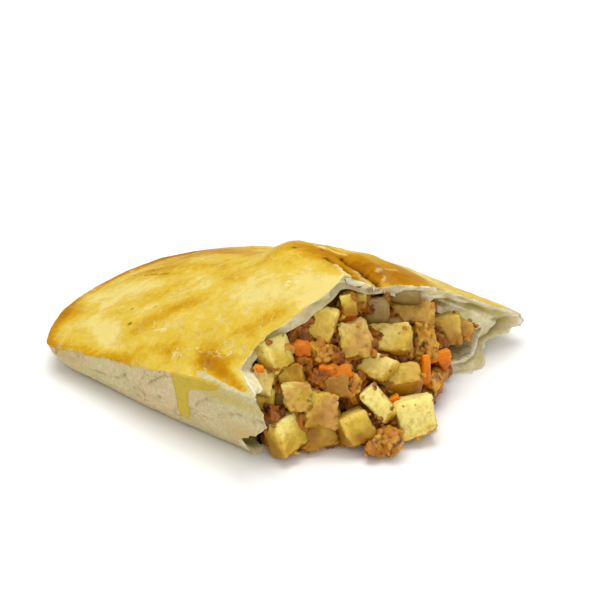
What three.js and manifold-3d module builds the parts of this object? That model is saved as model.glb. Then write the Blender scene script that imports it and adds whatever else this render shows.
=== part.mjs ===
// Half of a large baked pasty, cut across the middle and lying on its flat base.
// Two solids: the crust, one hollow shell of folded dough that is open at the cut, and the
// filling, which runs through the whole hollow and spills out over the floor in front of the cut.
// Millimetres, +Z up. While it is modelled, x = 0 is the cut, -x runs to the closed tip, and y runs
// from the fold side of the dough to its pressed seam. The finished group is moved so that its
// origin is the middle of its base.
import * as THREE from 'three';
import { mergeVertices } from 'three/addons/utils/BufferGeometryUtils.js';
import Module from 'manifold-3d';

const wasm = await Module();
wasm.setup();

// ---- Driving dimensions ----
const SEAM = { x: 4, y: 33.6, reach: 89, out: 53.6, under: 65.6 }; // pressed seam, seen from above
const SEAM_POWER = { out: 2.15, under: 2.5 }; // 2 is an ellipse, more is squarer
const FOLD = { atCut: -9.2, atTip: -11.6, straightens: 36 }; // the folded long side, seen from above
const TIP_ROUNDING = 2.5; // corner where the seam meets the fold
const CUT_SKEW = 0.08; // the knife ran slightly askew: x of the cut for each mm of y
const SPINE = { y: 33.6, end: -46 }; // line that the rows of the surfaces spread out from
const CREST = { high: 37.6, low: 28.8, slope: 50 }; // top of the dome at the cut, behind it, and between
const WALL = { fold: 3, seam: 12, tip: 13, top: 3.4, floor: 3.2 }; // thickness of the dough
const SEAM_LEVEL = 7.6; // height of the pressed edge's middle
const UNDERCUT = { rise: 4.8, width: 21 }; // the base lifts off the floor towards the seam
const FOLD_LEVEL = { cut: 21, tip: 7.2 }; // height where the folded side is widest
const CUT_RELIEF = 14; // the torn edge fades out this far behind the cut
const GAP = 0.32; // between the crust and the filling

// The torn edge: degrees round the middle of the cut, where 0 is the fold, 90 the crest and 180 the
// seam, and how far the edge stands out past the knife's line there
const TORN_EDGE = [
  [-24, 0], [-16, -0.6], [-9.3, -1], [-6.1, -0.8], [-4.6, 0.6], [1.5, 6.8], [4.4, 8.6], [7.3, 10],
  [12, 8.7], [15.7, 7.2], [18, 3.2], [19.5, 0.1], [21, -3], [37, -4.3], [54, -1.6], [61, -1.8],
  [66, -1.2], [73, -1.3], [78, -1.8], [83, -2.6], [86, -1.6], [88.5, 1.4], [92, 3.2], [95, 3.6],
  [100, 5.2], [104, 4.6], [109, 3], [115, 1.6], [122, 0.3],
];
const TORN_ROUND = { y: 30, z: 10 };

// The spill: y along the cut and how far it runs out over the floor there, and where it ends
const SPILL_FOOT = [
  [-4, 1], [1, 2], [8, 4.6], [13, 7.4], [16.5, 13], [20, 17.4], [36, 18.2], [42, 14.5], [49, 9], [56, 4],
];
const SPILL = { behind: 4, tapersFrom: 50, ends: 62 };
const CORE_FACE = -4; // the packed filling's face stands behind the cut
const NOOK = { behind: 13, from: 61 }; // near the seam that face lies deeper, and the dough's wall shows

// How the surfaces are laid out: part of the folded side whose columns keep step with the spine,
// length of seam that the fan round the tip takes, crowding of the rows towards the outline, and
// the stretch of outline over which the folded side turns into the seam
const LAYOUT = {
  straightShare: 0.74, fanPastTip: 50, crowding: { top: 1.6, base: 2.4 }, turnBefore: 11, turnOver: 19,
};
const SHOULDER = 2.2; // fullness of the dome's rounded shoulder, 2 is an ellipse
const OUTER_GRID = { side: 16, end: 18, rows: 14 };
const HOLLOW_GRID = { side: 14, end: 12, rows: 9 };
const CORE_GRID = { side: 6, end: 6, rows: 5 };

// ---- Small helpers ----
const clamp01 = (t) => Math.min(1, Math.max(0, t));
const mix = (a, b, t) => a + (b - a) * t;
const smooth = (t) => clamp01(t) ** 2 * (3 - 2 * clamp01(t));
const hump = (t) => clamp01(1 - t * t);
const bell = (t) => Math.exp(-t * t);
const round = (depth, radius, power = 2) => (1 - (1 - clamp01(depth / radius)) ** power) ** (1 / power);
const degrees = THREE.MathUtils.degToRad;

// Reads a table of [place, value], straight between its places
function between(table, place) {
  const next = table.findIndex(([at]) => at > place);
  if (next === 0) return table[0][1];
  if (next < 0) return table.at(-1)[1];
  const [[from, low], [to, high]] = [table[next - 1], table[next]];
  return mix(low, high, (place - from) / (to - from));
}

// Seeded random numbers, so that every build gives the same pasty
let seed = 20417;
function random(low = 0, high = 1) {
  seed = (seed * 1664525 + 1013904223) % 4294967296;
  return mix(low, high, seed / 4294967296);
}

// ---- From triangles to solids ----
function solidOf(geometry) {
  geometry.deleteAttribute('normal');
  geometry.deleteAttribute('uv');
  const merged = mergeVertices(geometry, 1e-4);
  const corners = merged.index.array;
  const kept = [];
  for (let i = 0; i < corners.length; i += 3) {
    const [a, b, c] = corners.slice(i, i + 3);
    if (a !== b && b !== c && c !== a) kept.push(a, b, c);
  }
  const mesh = new wasm.Mesh({
    numProp: 3,
    vertProperties: new Float32Array(merged.attributes.position.array),
    triVerts: new Uint32Array(kept),
  });
  return new wasm.Manifold(mesh);
}

const join = (solids) => solids.reduce((all, next) => all.add(next));

// Keeps the largest closed surface only: loose scraps and sealed hollows go
function largestShell(mesh) {
  const owner = Array.from({ length: mesh.vertProperties.length / mesh.numProp }, (_, i) => i);
  const root = (i) => {
    while (owner[i] !== i) {
      owner[i] = owner[owner[i]];
      i = owner[i];
    }
    return i;
  };
  for (let k = 0; k < (mesh.mergeFromVert ?? []).length; k += 1) {
    owner[root(mesh.mergeFromVert[k])] = root(mesh.mergeToVert[k]);
  }
  for (let i = 0; i < mesh.triVerts.length; i += 3) {
    owner[root(mesh.triVerts[i])] = root(mesh.triVerts[i + 1]);
    owner[root(mesh.triVerts[i + 1])] = root(mesh.triVerts[i + 2]);
  }
  const shells = new Map();
  for (let i = 0; i < mesh.triVerts.length; i += 3) {
    const key = root(mesh.triVerts[i]);
    if (!shells.has(key)) shells.set(key, []);
    shells.get(key).push(...mesh.triVerts.slice(i, i + 3));
  }
  return [...shells.values()].sort((a, b) => b.length - a.length)[0];
}

function geometryOf(solid) {
  const mesh = solid.getMesh();
  const geometry = new THREE.BufferGeometry();
  geometry.setAttribute('position', new THREE.BufferAttribute(new Float32Array(mesh.vertProperties), 3));
  geometry.setIndex(largestShell(mesh));
  geometry.computeVertexNormals();
  return geometry;
}

// ---- Plan of the pasty ----
const cutAt = (y) => CUT_SKEW * y;
const foldAt = (x) => mix(FOLD.atCut, FOLD.atTip, smooth(-x / FOLD.straightens));

// How many times a step from the seam's middle fits between that middle and the seam
function seamReach(along, across, seamInset, tipInset) {
  const side = across > 0 ? 'out' : 'under';
  const power = SEAM_POWER[side];
  const gauge = Math.abs(along / (SEAM.reach - tipInset)) ** power
    + Math.abs(across / (SEAM[side] - seamInset)) ** power;
  return gauge ** (-1 / power);
}

// How far inside the seam a place is. Past the cut the seam runs straight on.
function seamDistance(x, y) {
  const along = Math.min(-1.6, x - SEAM.x);
  const across = y - SEAM.y;
  return Math.max(0, Math.hypot(along, across) * (seamReach(along, across, 0, 0) - 1));
}

// Outline of a layer of the pasty: the folded side, the rounded tip corner and the seam
function outlineOf({ foldInset, seamInset, tipInset, beyondCut }) {
  const seamPoint = (turn) => {
    const across = Math.sin(turn);
    const along = Math.cos(turn);
    const reach = seamReach(along, across, seamInset, tipInset);
    return new THREE.Vector2(SEAM.x - reach * along, SEAM.y + reach * across);
  };
  // The seam starts where it comes out past the folded side
  let low = -Math.PI / 2;
  let high = 0;
  for (let i = 0; i < 40; i += 1) {
    const middle = (low + high) / 2;
    const p = seamPoint(middle);
    if (p.y < foldAt(p.x) + foldInset) low = middle;
    else high = middle;
  }
  const start = high;
  const corner = seamPoint(start);
  const seam = [];
  for (let i = 0; i <= 60; i += 1) {
    const p = seamPoint(mix(start, Math.PI / 2, i / 60));
    if (p.distanceTo(corner) > TIP_ROUNDING) seam.push(p);
  }
  const top = SEAM.y + SEAM.out - seamInset;
  seam.push(new THREE.Vector2(cutAt(top) + beyondCut, top));
  const from = cutAt(FOLD.atCut) + beyondCut;
  const fold = [];
  for (let i = 0; i <= 20; i += 1) {
    const x = mix(from, corner.x + TIP_ROUNDING, i / 20);
    fold.push(new THREE.Vector2(x, foldAt(x) + foldInset));
  }
  const line = new THREE.CurvePath();
  line.add(new THREE.SplineCurve(fold));
  line.add(new THREE.QuadraticBezierCurve(fold.at(-1), corner, seam[0]));
  line.add(new THREE.SplineCurve(seam));
  line.arcLengthDivisions = 800;
  return line;
}

// ---- Heights ----
// Small swells and hollows of hand-folded dough, with one bulge and one dip across the crest
function swell(x, y) {
  const waves = 0.6 * Math.sin(x / 9 + y / 18) + 0.5 * Math.sin(y / 6.4 - x / 25 + 1.3);
  const bulge = 2.8 * bell((x + y - 7.5) / 9) * bell((x - y + 62) / 22);
  const dip = 2.4 * bell((x + y - 29) / 8) * bell((x - y + 54) / 14);
  return waves + bulge - dip;
}

const crestAt = (x) => mix(CREST.high, CREST.low, smooth(-x / CREST.slope));

function domeAt(x, y, { drop, sag, rim, edge, span, power }) {
  const depth = clamp01((seamDistance(x, y) - rim) / span);
  const sunk = sag * smooth((y - 28) / 5) * smooth((x + 13) / 12) * (1 - smooth((y - 44) / 12));
  const rise = mix(edge, crestAt(x) - drop, 1 - (1 - depth) ** power);
  return rise + swell(x, y) * smooth(depth * 4) - sunk;
}

// The cut edge is torn rather than straight: how far it stands out past the knife's line
function tear(y, z) {
  const around = THREE.MathUtils.radToDeg(Math.atan2(z - TORN_ROUND.z, TORN_ROUND.y - y));
  const apron = 4.5 * hump((y - 65) / 10) * hump(z / 5);
  const ripple = 0.8 * Math.sin(y / 3.4 + z / 5) + 0.7 * Math.sin(y / 7.5 - z / 3.1 + 2);
  return between(TORN_EDGE, around) + apron + ripple * mix(0.2, 1, smooth((y - 24) / 16));
}

// ---- The dough and the hollow in it ----
// A pillow: an upper and a lower surface that meet along the outline, spread out from the spine.
const OUTER = {
  foldInset: 0, seamInset: 0, tipInset: 0, beyondCut: 0,
  drop: 0, sag: 2.6, rim: 1.6, edge: 8, span: 58, power: 1.4, seamLevel: SEAM_LEVEL,
  floor: 0, foldTop: [27, 9], foldBase: [8, 8], rimTop: 4, rimBase: 4, torn: true,
};
const HOLLOW = {
  foldInset: WALL.fold, seamInset: WALL.seam, tipInset: WALL.tip, beyondCut: 40,
  drop: WALL.top, sag: 1.6, rim: 15.5, edge: 7.6, span: 48, power: 1.6, seamLevel: 6.4,
  floor: WALL.floor, foldTop: [22, 8], foldBase: [5, 3], rimTop: 3.2, rimBase: 2.4, torn: false,
};
const grown = (form, by) => ({
  ...form,
  foldInset: form.foldInset - by,
  seamInset: form.seamInset - by,
  tipInset: form.tipInset - by,
  drop: form.drop - by,
  floor: form.floor - by,
  edge: form.edge + by,
  beyondCut: form.beyondCut + by,
});

function pillow(form, { side, end, rows }) {
  const line = outlineOf(form);
  const lengths = line.getCurveLengths();
  const corner = (lengths[0] + lengths[1]) / 2;
  const total = lengths[2];
  const fanStart = corner * LAYOUT.straightShare;
  const fanEnd = corner + LAYOUT.fanPastTip;
  const spineStart = cutAt(SPINE.y) + form.beyondCut;
  const columns = [];
  const addColumn = (distance, spineX) => {
    const edge = line.getPointAt(distance / total);
    const onSeam = smooth((distance - corner + LAYOUT.turnBefore) / LAYOUT.turnOver);
    const along = clamp01(distance / corner);
    columns.push({ edge, spine: new THREE.Vector2(spineX, SPINE.y), onSeam, along });
  };
  for (let i = 0; i <= side; i += 1) addColumn(fanStart * (i / side), mix(spineStart, SPINE.end, i / side));
  for (let i = 1; i < end; i += 1) addColumn(mix(fanStart, fanEnd, i / end), SPINE.end);
  for (let i = 0; i <= side; i += 1) {
    addColumn(mix(fanEnd, total, i / side), mix(spineStart, SPINE.end, 1 - i / side));
  }
  const top = [];
  const base = [];
  for (const { edge, spine, onSeam, along } of columns) {
    const width = edge.distanceTo(spine);
    const middle = mix(mix(FOLD_LEVEL.cut, FOLD_LEVEL.tip, along ** 1.2), form.seamLevel, onSeam);
    const topRadius = mix(mix(...form.foldTop, along), form.rimTop, onSeam);
    const baseRadius = mix(mix(...form.foldBase, along), form.rimBase, onSeam);
    const upper = [];
    const lower = [];
    const place = (row, crowding) => {
      const outward = 1 - (1 - row / rows) ** crowding;
      const { x, y } = spine.clone().lerp(edge, outward);
      return { x, y, depth: (1 - outward) * width };
    };
    for (let j = 0; j <= rows; j += 1) {
      const above = place(j, LAYOUT.crowding.top);
      const ceiling = domeAt(above.x, above.y, form);
      const high = mix(middle, ceiling, round(above.depth, topRadius, SHOULDER));
      upper.push(new THREE.Vector3(above.x, above.y, high));
      const below = place(j, LAYOUT.crowding.base);
      const lift = UNDERCUT.rise * onSeam * (1 - smooth(seamDistance(below.x, below.y) / UNDERCUT.width));
      const low = mix(middle, form.floor + lift, round(below.depth, baseRadius));
      lower.push(new THREE.Vector3(below.x, below.y, low));
    }
    top.push(upper);
    base.push(lower);
  }
  const faces = [];
  const sheet = (grid, flip) => {
    for (let i = 0; i + 1 < grid.length; i += 1) {
      for (let j = 0; j + 1 < grid[i].length; j += 1) {
        const quad = [grid[i][j], grid[i + 1][j], grid[i + 1][j + 1], grid[i][j + 1]];
        if (flip) quad.reverse();
        faces.push(quad[0], quad[1], quad[2], quad[0], quad[2], quad[3]);
      }
    }
  };
  sheet(top, false);
  sheet(base, true);
  // The cut face closes the pillow between its first and last columns
  const levels = 6;
  const across = (i) => base[i].map((p, j) => Array.from(
    { length: levels + 1 },
    (_, k) => p.clone().lerp(top[i][j], k / levels),
  ));
  sheet(across(0), true);
  sheet(across(columns.length - 1), false);
  if (form.torn) {
    const torn = new Set();
    for (const p of faces) {
      if (torn.has(p)) continue;
      torn.add(p);
      const behind = cutAt(p.y) + form.beyondCut - p.x;
      p.x += tear(p.y, p.z) * clamp01(1 - behind / CUT_RELIEF) ** 2;
    }
  }
  return solidOf(new THREE.BufferGeometry().setFromPoints(faces));
}

// ---- The filling ----
// Its slope: y along the cut, fall 0 under the crust's edge and 1 on the floor
const ceilingAt = (y) => domeAt(0, y, HOLLOW) * round(y - foldAt(0) - WALL.fold, 19, SHOULDER);

function slope(y, fall) {
  const x = cutAt(y) - SPILL.behind + (between(SPILL_FOOT, y) + SPILL.behind) * fall ** 1.2;
  const taper = Math.sqrt(hump(clamp01((y - SPILL.tapersFrom) / (SPILL.ends - SPILL.tapersFrom))));
  return new THREE.Vector3(x, y, (ceilingAt(y) - 1.6) * taper * (1 - fall) ** 0.95);
}

// The packed core under the pieces, set back behind the slope and farthest at the floor
function heap() {
  const steps = 14;
  const falls = 8;
  const from = 0.5;
  const to = SPILL.ends - 1.5;
  const back = 13;
  const rings = [];
  for (let i = 0; i <= steps; i += 1) {
    const y = mix(from, to, i / steps);
    const behind = 8 * hump((y - 20) / 44);
    const ring = [new THREE.Vector3(cutAt(y) - back, y, 0), new THREE.Vector3(cutAt(y) - back, y, behind)];
    for (let k = 0; k <= falls; k += 1) {
      const p = slope(y, k / falls);
      ring.push(new THREE.Vector3(p.x - mix(2, 6, k / falls), y, Math.max(0, p.z - 0.8)));
    }
    rings.push(ring);
  }
  const faces = [];
  for (let i = 0; i < steps; i += 1) {
    for (let k = 0; k < rings[i].length; k += 1) {
      const next = (k + 1) % rings[i].length;
      faces.push(rings[i][k], rings[i][next], rings[i + 1][next]);
      faces.push(rings[i][k], rings[i + 1][next], rings[i + 1][k]);
    }
  }
  for (const [ring, flip] of [[rings[0], true], [rings[steps], false]]) {
    for (let k = 1; k + 1 < ring.length; k += 1) {
      faces.push(ring[0], ...(flip ? [ring[k + 1], ring[k]] : [ring[k], ring[k + 1]]));
    }
  }
  return solidOf(new THREE.BufferGeometry().setFromPoints(faces));
}

// A knife-cut cube of potato, carrot or onion with softened corners
function dice(width, depth, height, softness = 0.13) {
  const geometry = new THREE.BoxGeometry(1, 1, 1, 2, 2, 2);
  geometry.deleteAttribute('normal');
  geometry.deleteAttribute('uv');
  const block = mergeVertices(geometry);
  const p = new THREE.Vector3();
  const skew = new THREE.Vector3(random(-0.12, 0.12), random(-0.12, 0.12), random(-0.1, 0.1));
  for (let i = 0; i < block.attributes.position.count; i += 1) {
    p.fromBufferAttribute(block.attributes.position, i);
    const sides = [p.x, p.y, p.z].filter((v) => Math.abs(v) > 0.4).length;
    p.multiplyScalar(1 - softness * (sides - 1) * 0.6);
    p.x += skew.x * p.z;
    p.y += skew.y * p.z;
    p.z += skew.z * p.x;
    block.attributes.position.setXYZ(i, p.x * width, p.y * depth, p.z * height);
  }
  return block;
}

// A crumbly lump of minced meat or mashed potato
function lump(width, depth, height, detail) {
  const geometry = new THREE.IcosahedronGeometry(0.5, detail);
  geometry.deleteAttribute('normal');
  geometry.deleteAttribute('uv');
  const ball = mergeVertices(geometry);
  const p = new THREE.Vector3();
  for (let i = 0; i < ball.attributes.position.count; i += 1) {
    p.fromBufferAttribute(ball.attributes.position, i).multiplyScalar(random(0.78, 1.18));
    ball.attributes.position.setXYZ(i, p.x * width, p.y * depth, p.z * height);
  }
  return ball;
}

// Turns a piece, sets it at its centre and lifts it if it would sink into the floor
function placed(geometry, centre, [turn, lean, tilt]) {
  const pose = new THREE.Object3D();
  pose.position.copy(centre);
  pose.rotation.set(degrees(tilt), degrees(lean), degrees(turn), 'ZYX');
  pose.updateMatrix();
  geometry.applyMatrix4(pose.matrix);
  geometry.computeBoundingBox();
  geometry.translate(0, 0, Math.max(0, -geometry.boundingBox.min.z));
  return solidOf(geometry);
}

// The pieces that show: centre (x, y, z), size (width, depth, height), turn about z, lean, tilt
const POTATOES = [
  [3.7, 3, 5.4, 6.4, 8.6, 9, -6, -26, 8],
  [20.1, 31, 5.1, 8.8, 9.4, 9.4, -34, -20, 8],
  [14.8, 23.7, 10.1, 6, 5.2, 9.6, -51, -31, 44],
  [13.5, 16.9, 5.6, 7.6, 7.8, 7.6, -25, -23, 13],
  [12.5, 34.4, 11, 8.5, 9.6, 6.4, -40, -66, 10],
  [8.9, 29.9, 15.1, 8, 8.4, 6.6, -70, -40, -8],
  [5.8, 37.2, 18.9, 8, 10.8, 7.4, -45, -42, -5],
  [-2, 20.7, 27.1, 7, 7.4, 8.6, -50, -36, -20],
  [-4.6, 7.1, 23.1, 7, 8, 8.4, -8, -26, 8],
  [-4.2, 1.6, 17.6, 6, 6.6, 6.4, -20, -36, -30],
  [-0.5, 9.4, 17.2, 6, 6.6, 5.4, -55, -30, 20],
  [-3.2, 2.4, 12.6, 6, 5.4, 6, -45, -20, 5],
  [6.6, 10.4, 3.6, 6.4, 8.6, 6.4, -30, -24, 4],
  [-3.4, 30.2, 29.3, 6, 5.4, 5.6, -45, -10, 10],
  [-2.3, 34.2, 28.1, 6, 4.8, 5.4, -50, -15, 0],
  [6.3, 17.6, 14, 6, 6.4, 5.6, -40, -30, 0],
  [3.2, 26.9, 21.9, 7.6, 8, 9.2, -40, -30, 12],
  [2.5, 8.2, 14.1, 6.4, 6.8, 6.8, -45, -20, 8],
  [7.4, 11.8, 10, 6.6, 7.4, 9, -40, -26, -8],
  [1.5, 50.1, 20.1, 7, 9.8, 5.2, -45, -30, -4],
  [3, 61.6, 12, 6, 7, 7.6, -45, -20, 6],
  [3.4, 67.4, 9.6, 5.4, 6.4, 4.6, -45, -25, -25],
  [0.6, 27.6, 30.4, 4, 3.6, 5.6, -45, -20, 12],
];
const ONIONS = [
  [1.6, 37, 25.6, 3.6, 6.4, 7.4, -45, -12, 4],
  [1.6, 47, 26, 3.4, 8, 4.2, -47, -14, -6],
  [0.1, 5.9, 13, 3.4, 5.2, 6.4, -48, -10, 0],
  [3.6, 40.1, 21.2, 3, 5, 4, -48, -10, 0],
];
const CARROTS = [
  [12.7, 43.1, 11.1, 2.3, 2.5, 8, -40, -8, -2],
  [10.4, 50.4, 11, 2.2, 6, 2.6, -40, -8, 10],
  [10.4, 52.6, 8.6, 2.4, 3, 3.4, -20, 0, 30],
  [7.1, 18.4, 17.4, 2.6, 5.4, 3.6, -40, 0, 20],
  [5.3, 16.2, 18.6, 2.4, 4.4, 2.8, -40, 0, -10],
  [0.2, 12.2, 24.4, 2.8, 3.4, 3, -40, 0, 10],
  [-0.4, 28.1, 27.8, 4, 4.2, 4, -40, 0, 10],
  [-2.4, 0.4, 22.4, 1.6, 1.8, 1.6, -40, 0, 0],
  [15.9, 28.6, 10, 2, 2.2, 2, -40, 0, 30],
];
const LUMPS = [
  [1.6, 17.2, 21.8, 6, 6.2, 6.8, 0, 0, 0],
  [3.7, 14.1, 16.8, 5, 4.6, 5.2, 0, 0, 0],
  [5.2, 49.5, 15.8, 6, 7, 9, 0, 10, 0],
  [8, 48.2, 12, 5, 6, 6, 0, 10, 0],
  [12, 46.6, 5, 6, 6.2, 7.6, 0, 0, 0],
  [21.4, 19.9, 3.4, 7.6, 8.4, 6.8, 20, 0, 0],
  [19.6, 16.6, 2.4, 5, 5.6, 4.8, 0, 0, 0],
  [17.3, 28, 4.2, 5.4, 5.4, 7.4, 0, 0, 0],
  [8.9, 20.6, 12.9, 4.8, 5.4, 8, 0, 0, 0],
  [0.2, 2, 9.2, 6.6, 6.6, 7.4, 0, 0, 0],
  [4.2, 7.8, 8, 5, 5, 7, 0, 0, 0],
  [2.9, 21, 19.7, 5.4, 6.2, 6, 0, 0, 0],
  [-3.3, 14.1, 25.7, 5, 5.4, 5, 0, 0, 0],
  [8.2, 38.3, 12.6, 6, 6, 5, 0, 0, 0],
  [-0.6, 58.1, 19, 5, 6, 5, 0, 0, 0],
  [-2.3, 37.3, 27.1, 5, 5, 5, 0, 0, 0],
  [0.2, 13.1, 19.7, 5, 5, 5.6, 0, 0, 0],
  [-2.3, 18.4, 25.1, 4.6, 5, 4.6, 0, 0, 0],
  [4.9, 29.9, 18.1, 5, 5, 5, 0, 0, 0],
  [3.9, 57.1, 10.4, 5, 5, 6, 0, 0, 0],
  [8.4, 52.8, 4.8, 4.2, 4.6, 6, 0, 0, 0],
  [8.2, 14.2, 2.6, 4.4, 4.8, 4.8, 0, 0, 0],
  [4.2, 7, 1.8, 3.6, 4, 3.4, 0, 0, 0],
];
const SCATTERED = 44; // small crumbs of mince between the pieces

function filling() {
  const solids = [];
  const set = (list, shape, ...more) => {
    for (const [x, y, z, width, depth, height, turn, lean, tilt] of list) {
      const piece = shape(width, depth, height, ...more);
      solids.push(placed(piece, new THREE.Vector3(x, y, z), [turn, lean, tilt]));
    }
  };
  set(POTATOES, dice);
  set(ONIONS, dice, 0.3);
  set(CARROTS, dice, 0.08);
  set(LUMPS, lump, 1);
  for (let i = 0; i < SCATTERED; i += 1) {
    const size = random(3, 5.4);
    const crumb = lump(size, size * random(0.8, 1.2), size * random(0.7, 1.1), 0);
    const centre = slope(random(1.5, 58), random(0.02, 0.96));
    centre.addScaledVector(new THREE.Vector3(0.7, 0, 0.7), -random(0.6, 2.2)); // partly sunk into the heap
    solids.push(placed(crumb, centre, [random(0, 360), 0, random(0, 90)]));
  }
  const packed = pillow({ ...grown(HOLLOW, 1), beyondCut: CORE_FACE }, CORE_GRID);
  const nook = new THREE.BoxGeometry(40, 60, 60);
  nook.translate(cutAt(NOOK.from) - NOOK.behind + 20, NOOK.from + 30, 24);
  const core = packed.subtract(solidOf(nook));
  const front = new THREE.BoxGeometry(60, 160, 60).translate(28.5, SEAM.y, 30);
  const shell = pillow({ ...grown(OUTER, GAP), beyondCut: 0.8 }, OUTER_GRID);
  const room = pillow(grown(HOLLOW, -GAP), HOLLOW_GRID).add(solidOf(front).subtract(shell));
  return join([core, heap(), ...solids]).intersect(room);
}

const crust = pillow(OUTER, OUTER_GRID).subtract(pillow(HOLLOW, HOLLOW_GRID));

function named(name, solid, look) {
  const mesh = new THREE.Mesh(geometryOf(solid), new THREE.MeshStandardMaterial({ metalness: 0, ...look }));
  mesh.name = name;
  return mesh;
}

const pasty = new THREE.Group();
pasty.add(named('crust', crust, { color: 0xe3bf62, roughness: 0.42 }));
pasty.add(named('filling', filling(), { color: 0xc9a55c, roughness: 0.6 }));

const box = new THREE.Box3().setFromObject(pasty, true);
const centre = box.getCenter(new THREE.Vector3());
pasty.position.set(-centre.x, -centre.y, -box.min.z);
pasty.updateMatrixWorld(true);

export default pasty;
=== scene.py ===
"""Half of a large baked pasty, cut across the middle, with its filling spilling from the cut.

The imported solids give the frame. The crust and the filling are rebuilt here as fine surfaces over
the same plan: lengths in this file are millimetres, measured from the place where the knife's cut
meets the folded side, with x towards the spilled filling, y from the fold to the pressed seam and
z up. One function turns them into the frame's metres.
"""
import logging
import math
from dataclasses import dataclass, field, replace
from enum import Enum
from typing import Any, Dict, List, Optional, Sequence, Tuple

import bmesh
import bpy
import numpy as np
from mathutils import Euler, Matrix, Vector


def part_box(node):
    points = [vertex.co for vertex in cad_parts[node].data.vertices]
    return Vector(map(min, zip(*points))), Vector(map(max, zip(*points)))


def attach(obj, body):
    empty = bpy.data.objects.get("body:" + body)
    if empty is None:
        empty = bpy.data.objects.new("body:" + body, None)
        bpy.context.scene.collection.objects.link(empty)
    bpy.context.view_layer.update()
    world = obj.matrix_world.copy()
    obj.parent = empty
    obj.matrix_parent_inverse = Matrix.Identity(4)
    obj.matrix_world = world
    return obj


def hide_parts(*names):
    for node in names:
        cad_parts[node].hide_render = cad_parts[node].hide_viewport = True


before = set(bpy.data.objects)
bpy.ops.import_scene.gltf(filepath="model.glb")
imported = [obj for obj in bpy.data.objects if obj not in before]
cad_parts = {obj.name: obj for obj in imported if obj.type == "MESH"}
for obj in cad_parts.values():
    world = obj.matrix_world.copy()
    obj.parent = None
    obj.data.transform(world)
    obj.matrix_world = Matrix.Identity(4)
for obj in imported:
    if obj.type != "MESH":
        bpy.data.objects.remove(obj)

LOG = logging.getLogger("pasty")
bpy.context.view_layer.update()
Array = np.ndarray
# Places, and the values there
Table = Tuple[Tuple[float, ...], Tuple[float, ...]]


# -------------------- small mathematics
def mix(a: Any, b: Any, t: Any) -> Any:
    """Value a where t is 0, b where t is 1, and evenly between."""
    return a + (b - a) * t


def smooth(t: Array) -> Array:
    """Smoothstep: 3t^2 - 2t^3 with t held between 0 and 1."""
    t = np.clip(t, 0.0, 1.0)
    return t * t * (3.0 - 2.0 * t)


def hump(t: Array) -> Array:
    """Parabola 1 - t^2, held at 0 outside -1 to 1."""
    return np.clip(1.0 - t * t, 0.0, 1.0)


def bell(t: Array) -> Array:
    """Gaussian bell e^(-t^2)."""
    return np.exp(-t * t)


def shoulder(depth: Array, radius: Array, power: float = 2.0) -> Array:
    """Rounded edge: (1 - (1 - depth/radius)^p)^(1/p), 0 at the edge and 1 past the radius."""
    t = np.clip(depth / radius, 0.0, 1.0)
    return (1.0 - (1.0 - t) ** power) ** (1.0 / power)


def cell_random(cells: Array, seed: int) -> Array:
    """Random number from 0 to 1 for each integer cell.

    Args:
        cells: integer coordinates, shape (..., 3).
        seed: which set of random numbers.

    Returns:
        One number for each cell, mixed from its coordinates by multiply and shift.
    """
    c = cells.astype(np.int64).astype(np.uint32)
    mixed = (c[..., 0] * np.uint32(374761393) + c[..., 1] * np.uint32(668265263)
             + c[..., 2] * np.uint32(2246822519) + np.uint32(seed * 97531 + 12345))
    mixed = (mixed ^ (mixed >> np.uint32(13))) * np.uint32(1274126177)
    return ((mixed ^ (mixed >> np.uint32(16))) & np.uint32(0xFFFFFF)) / float(0xFFFFFF)


def noise(points: Array, size: Any, seed: int = 0) -> Array:
    """Smooth noise from -1 to 1.

    Random numbers sit on a lattice `size` apart, and a point takes the smoothstep blend of the
    eight around it.

    Args:
        points: shape (..., 3), in millimetres.
        size: lattice spacing, one number or one for each axis.
        seed: which noise.

    Returns:
        One number for each point.
    """
    q = points / np.asarray(size, float)
    base = np.floor(q)
    f = smooth(q - base)
    total = np.zeros(points.shape[:-1])
    for corner in np.ndindex(2, 2, 2):
        step = np.array(corner)
        weight = np.prod(np.where(step == 1, f, 1.0 - f), axis=-1)
        total += weight * cell_random(base + step, seed)
    return total * 2.0 - 1.0


def fractal(points: Array, size: Any, octaves: int, seed: int = 0) -> Array:
    """Sum of noises, each at half the size and half the strength of the one before.

    Args:
        points: shape (..., 3), in millimetres.
        size: lattice spacing of the coarsest noise, one number or one for each axis.
        octaves: how many noises.
        seed: which noise.

    Returns:
        One number for each point, from -1 to 1.
    """
    size = np.asarray(size, float)
    layers = [noise(points, size / 2 ** k, seed + 31 * k) / 2 ** k for k in range(octaves)]
    return sum(layers) / (2.0 - 2.0 ** (1 - octaves))


def crease(points: Array, size: Any, width: float, seed: int = 0) -> Array:
    """Thin wandering lines: a bell of the noise's value, 1 where the noise crosses 0."""
    return bell(fractal(points, size, 2, seed) / width)


def path_distance(x: Array, y: Array, path: Sequence[Tuple[float, float]]) -> Tuple[Array, Array]:
    """Distance from each place to a path of straight stretches.

    Args:
        x: first coordinate of each place.
        y: second coordinate of each place.
        path: the path's corners.

    Returns:
        The distance, and the share of the path, 0 to 1, at the nearest point.
    """
    best = np.full(np.shape(x), 1e9)
    share = np.zeros(np.shape(x))
    for k, ((ax, ay), (bx, by)) in enumerate(zip(path, path[1:])):
        dx, dy = bx - ax, by - ay
        t = np.clip(((x - ax) * dx + (y - ay) * dy) / (dx * dx + dy * dy), 0.0, 1.0)
        d = np.hypot(x - ax - t * dx, y - ay - t * dy)
        share = np.where(d < best, (k + t) / (len(path) - 1), share)
        best = np.minimum(best, d)
    return best, share


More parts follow.
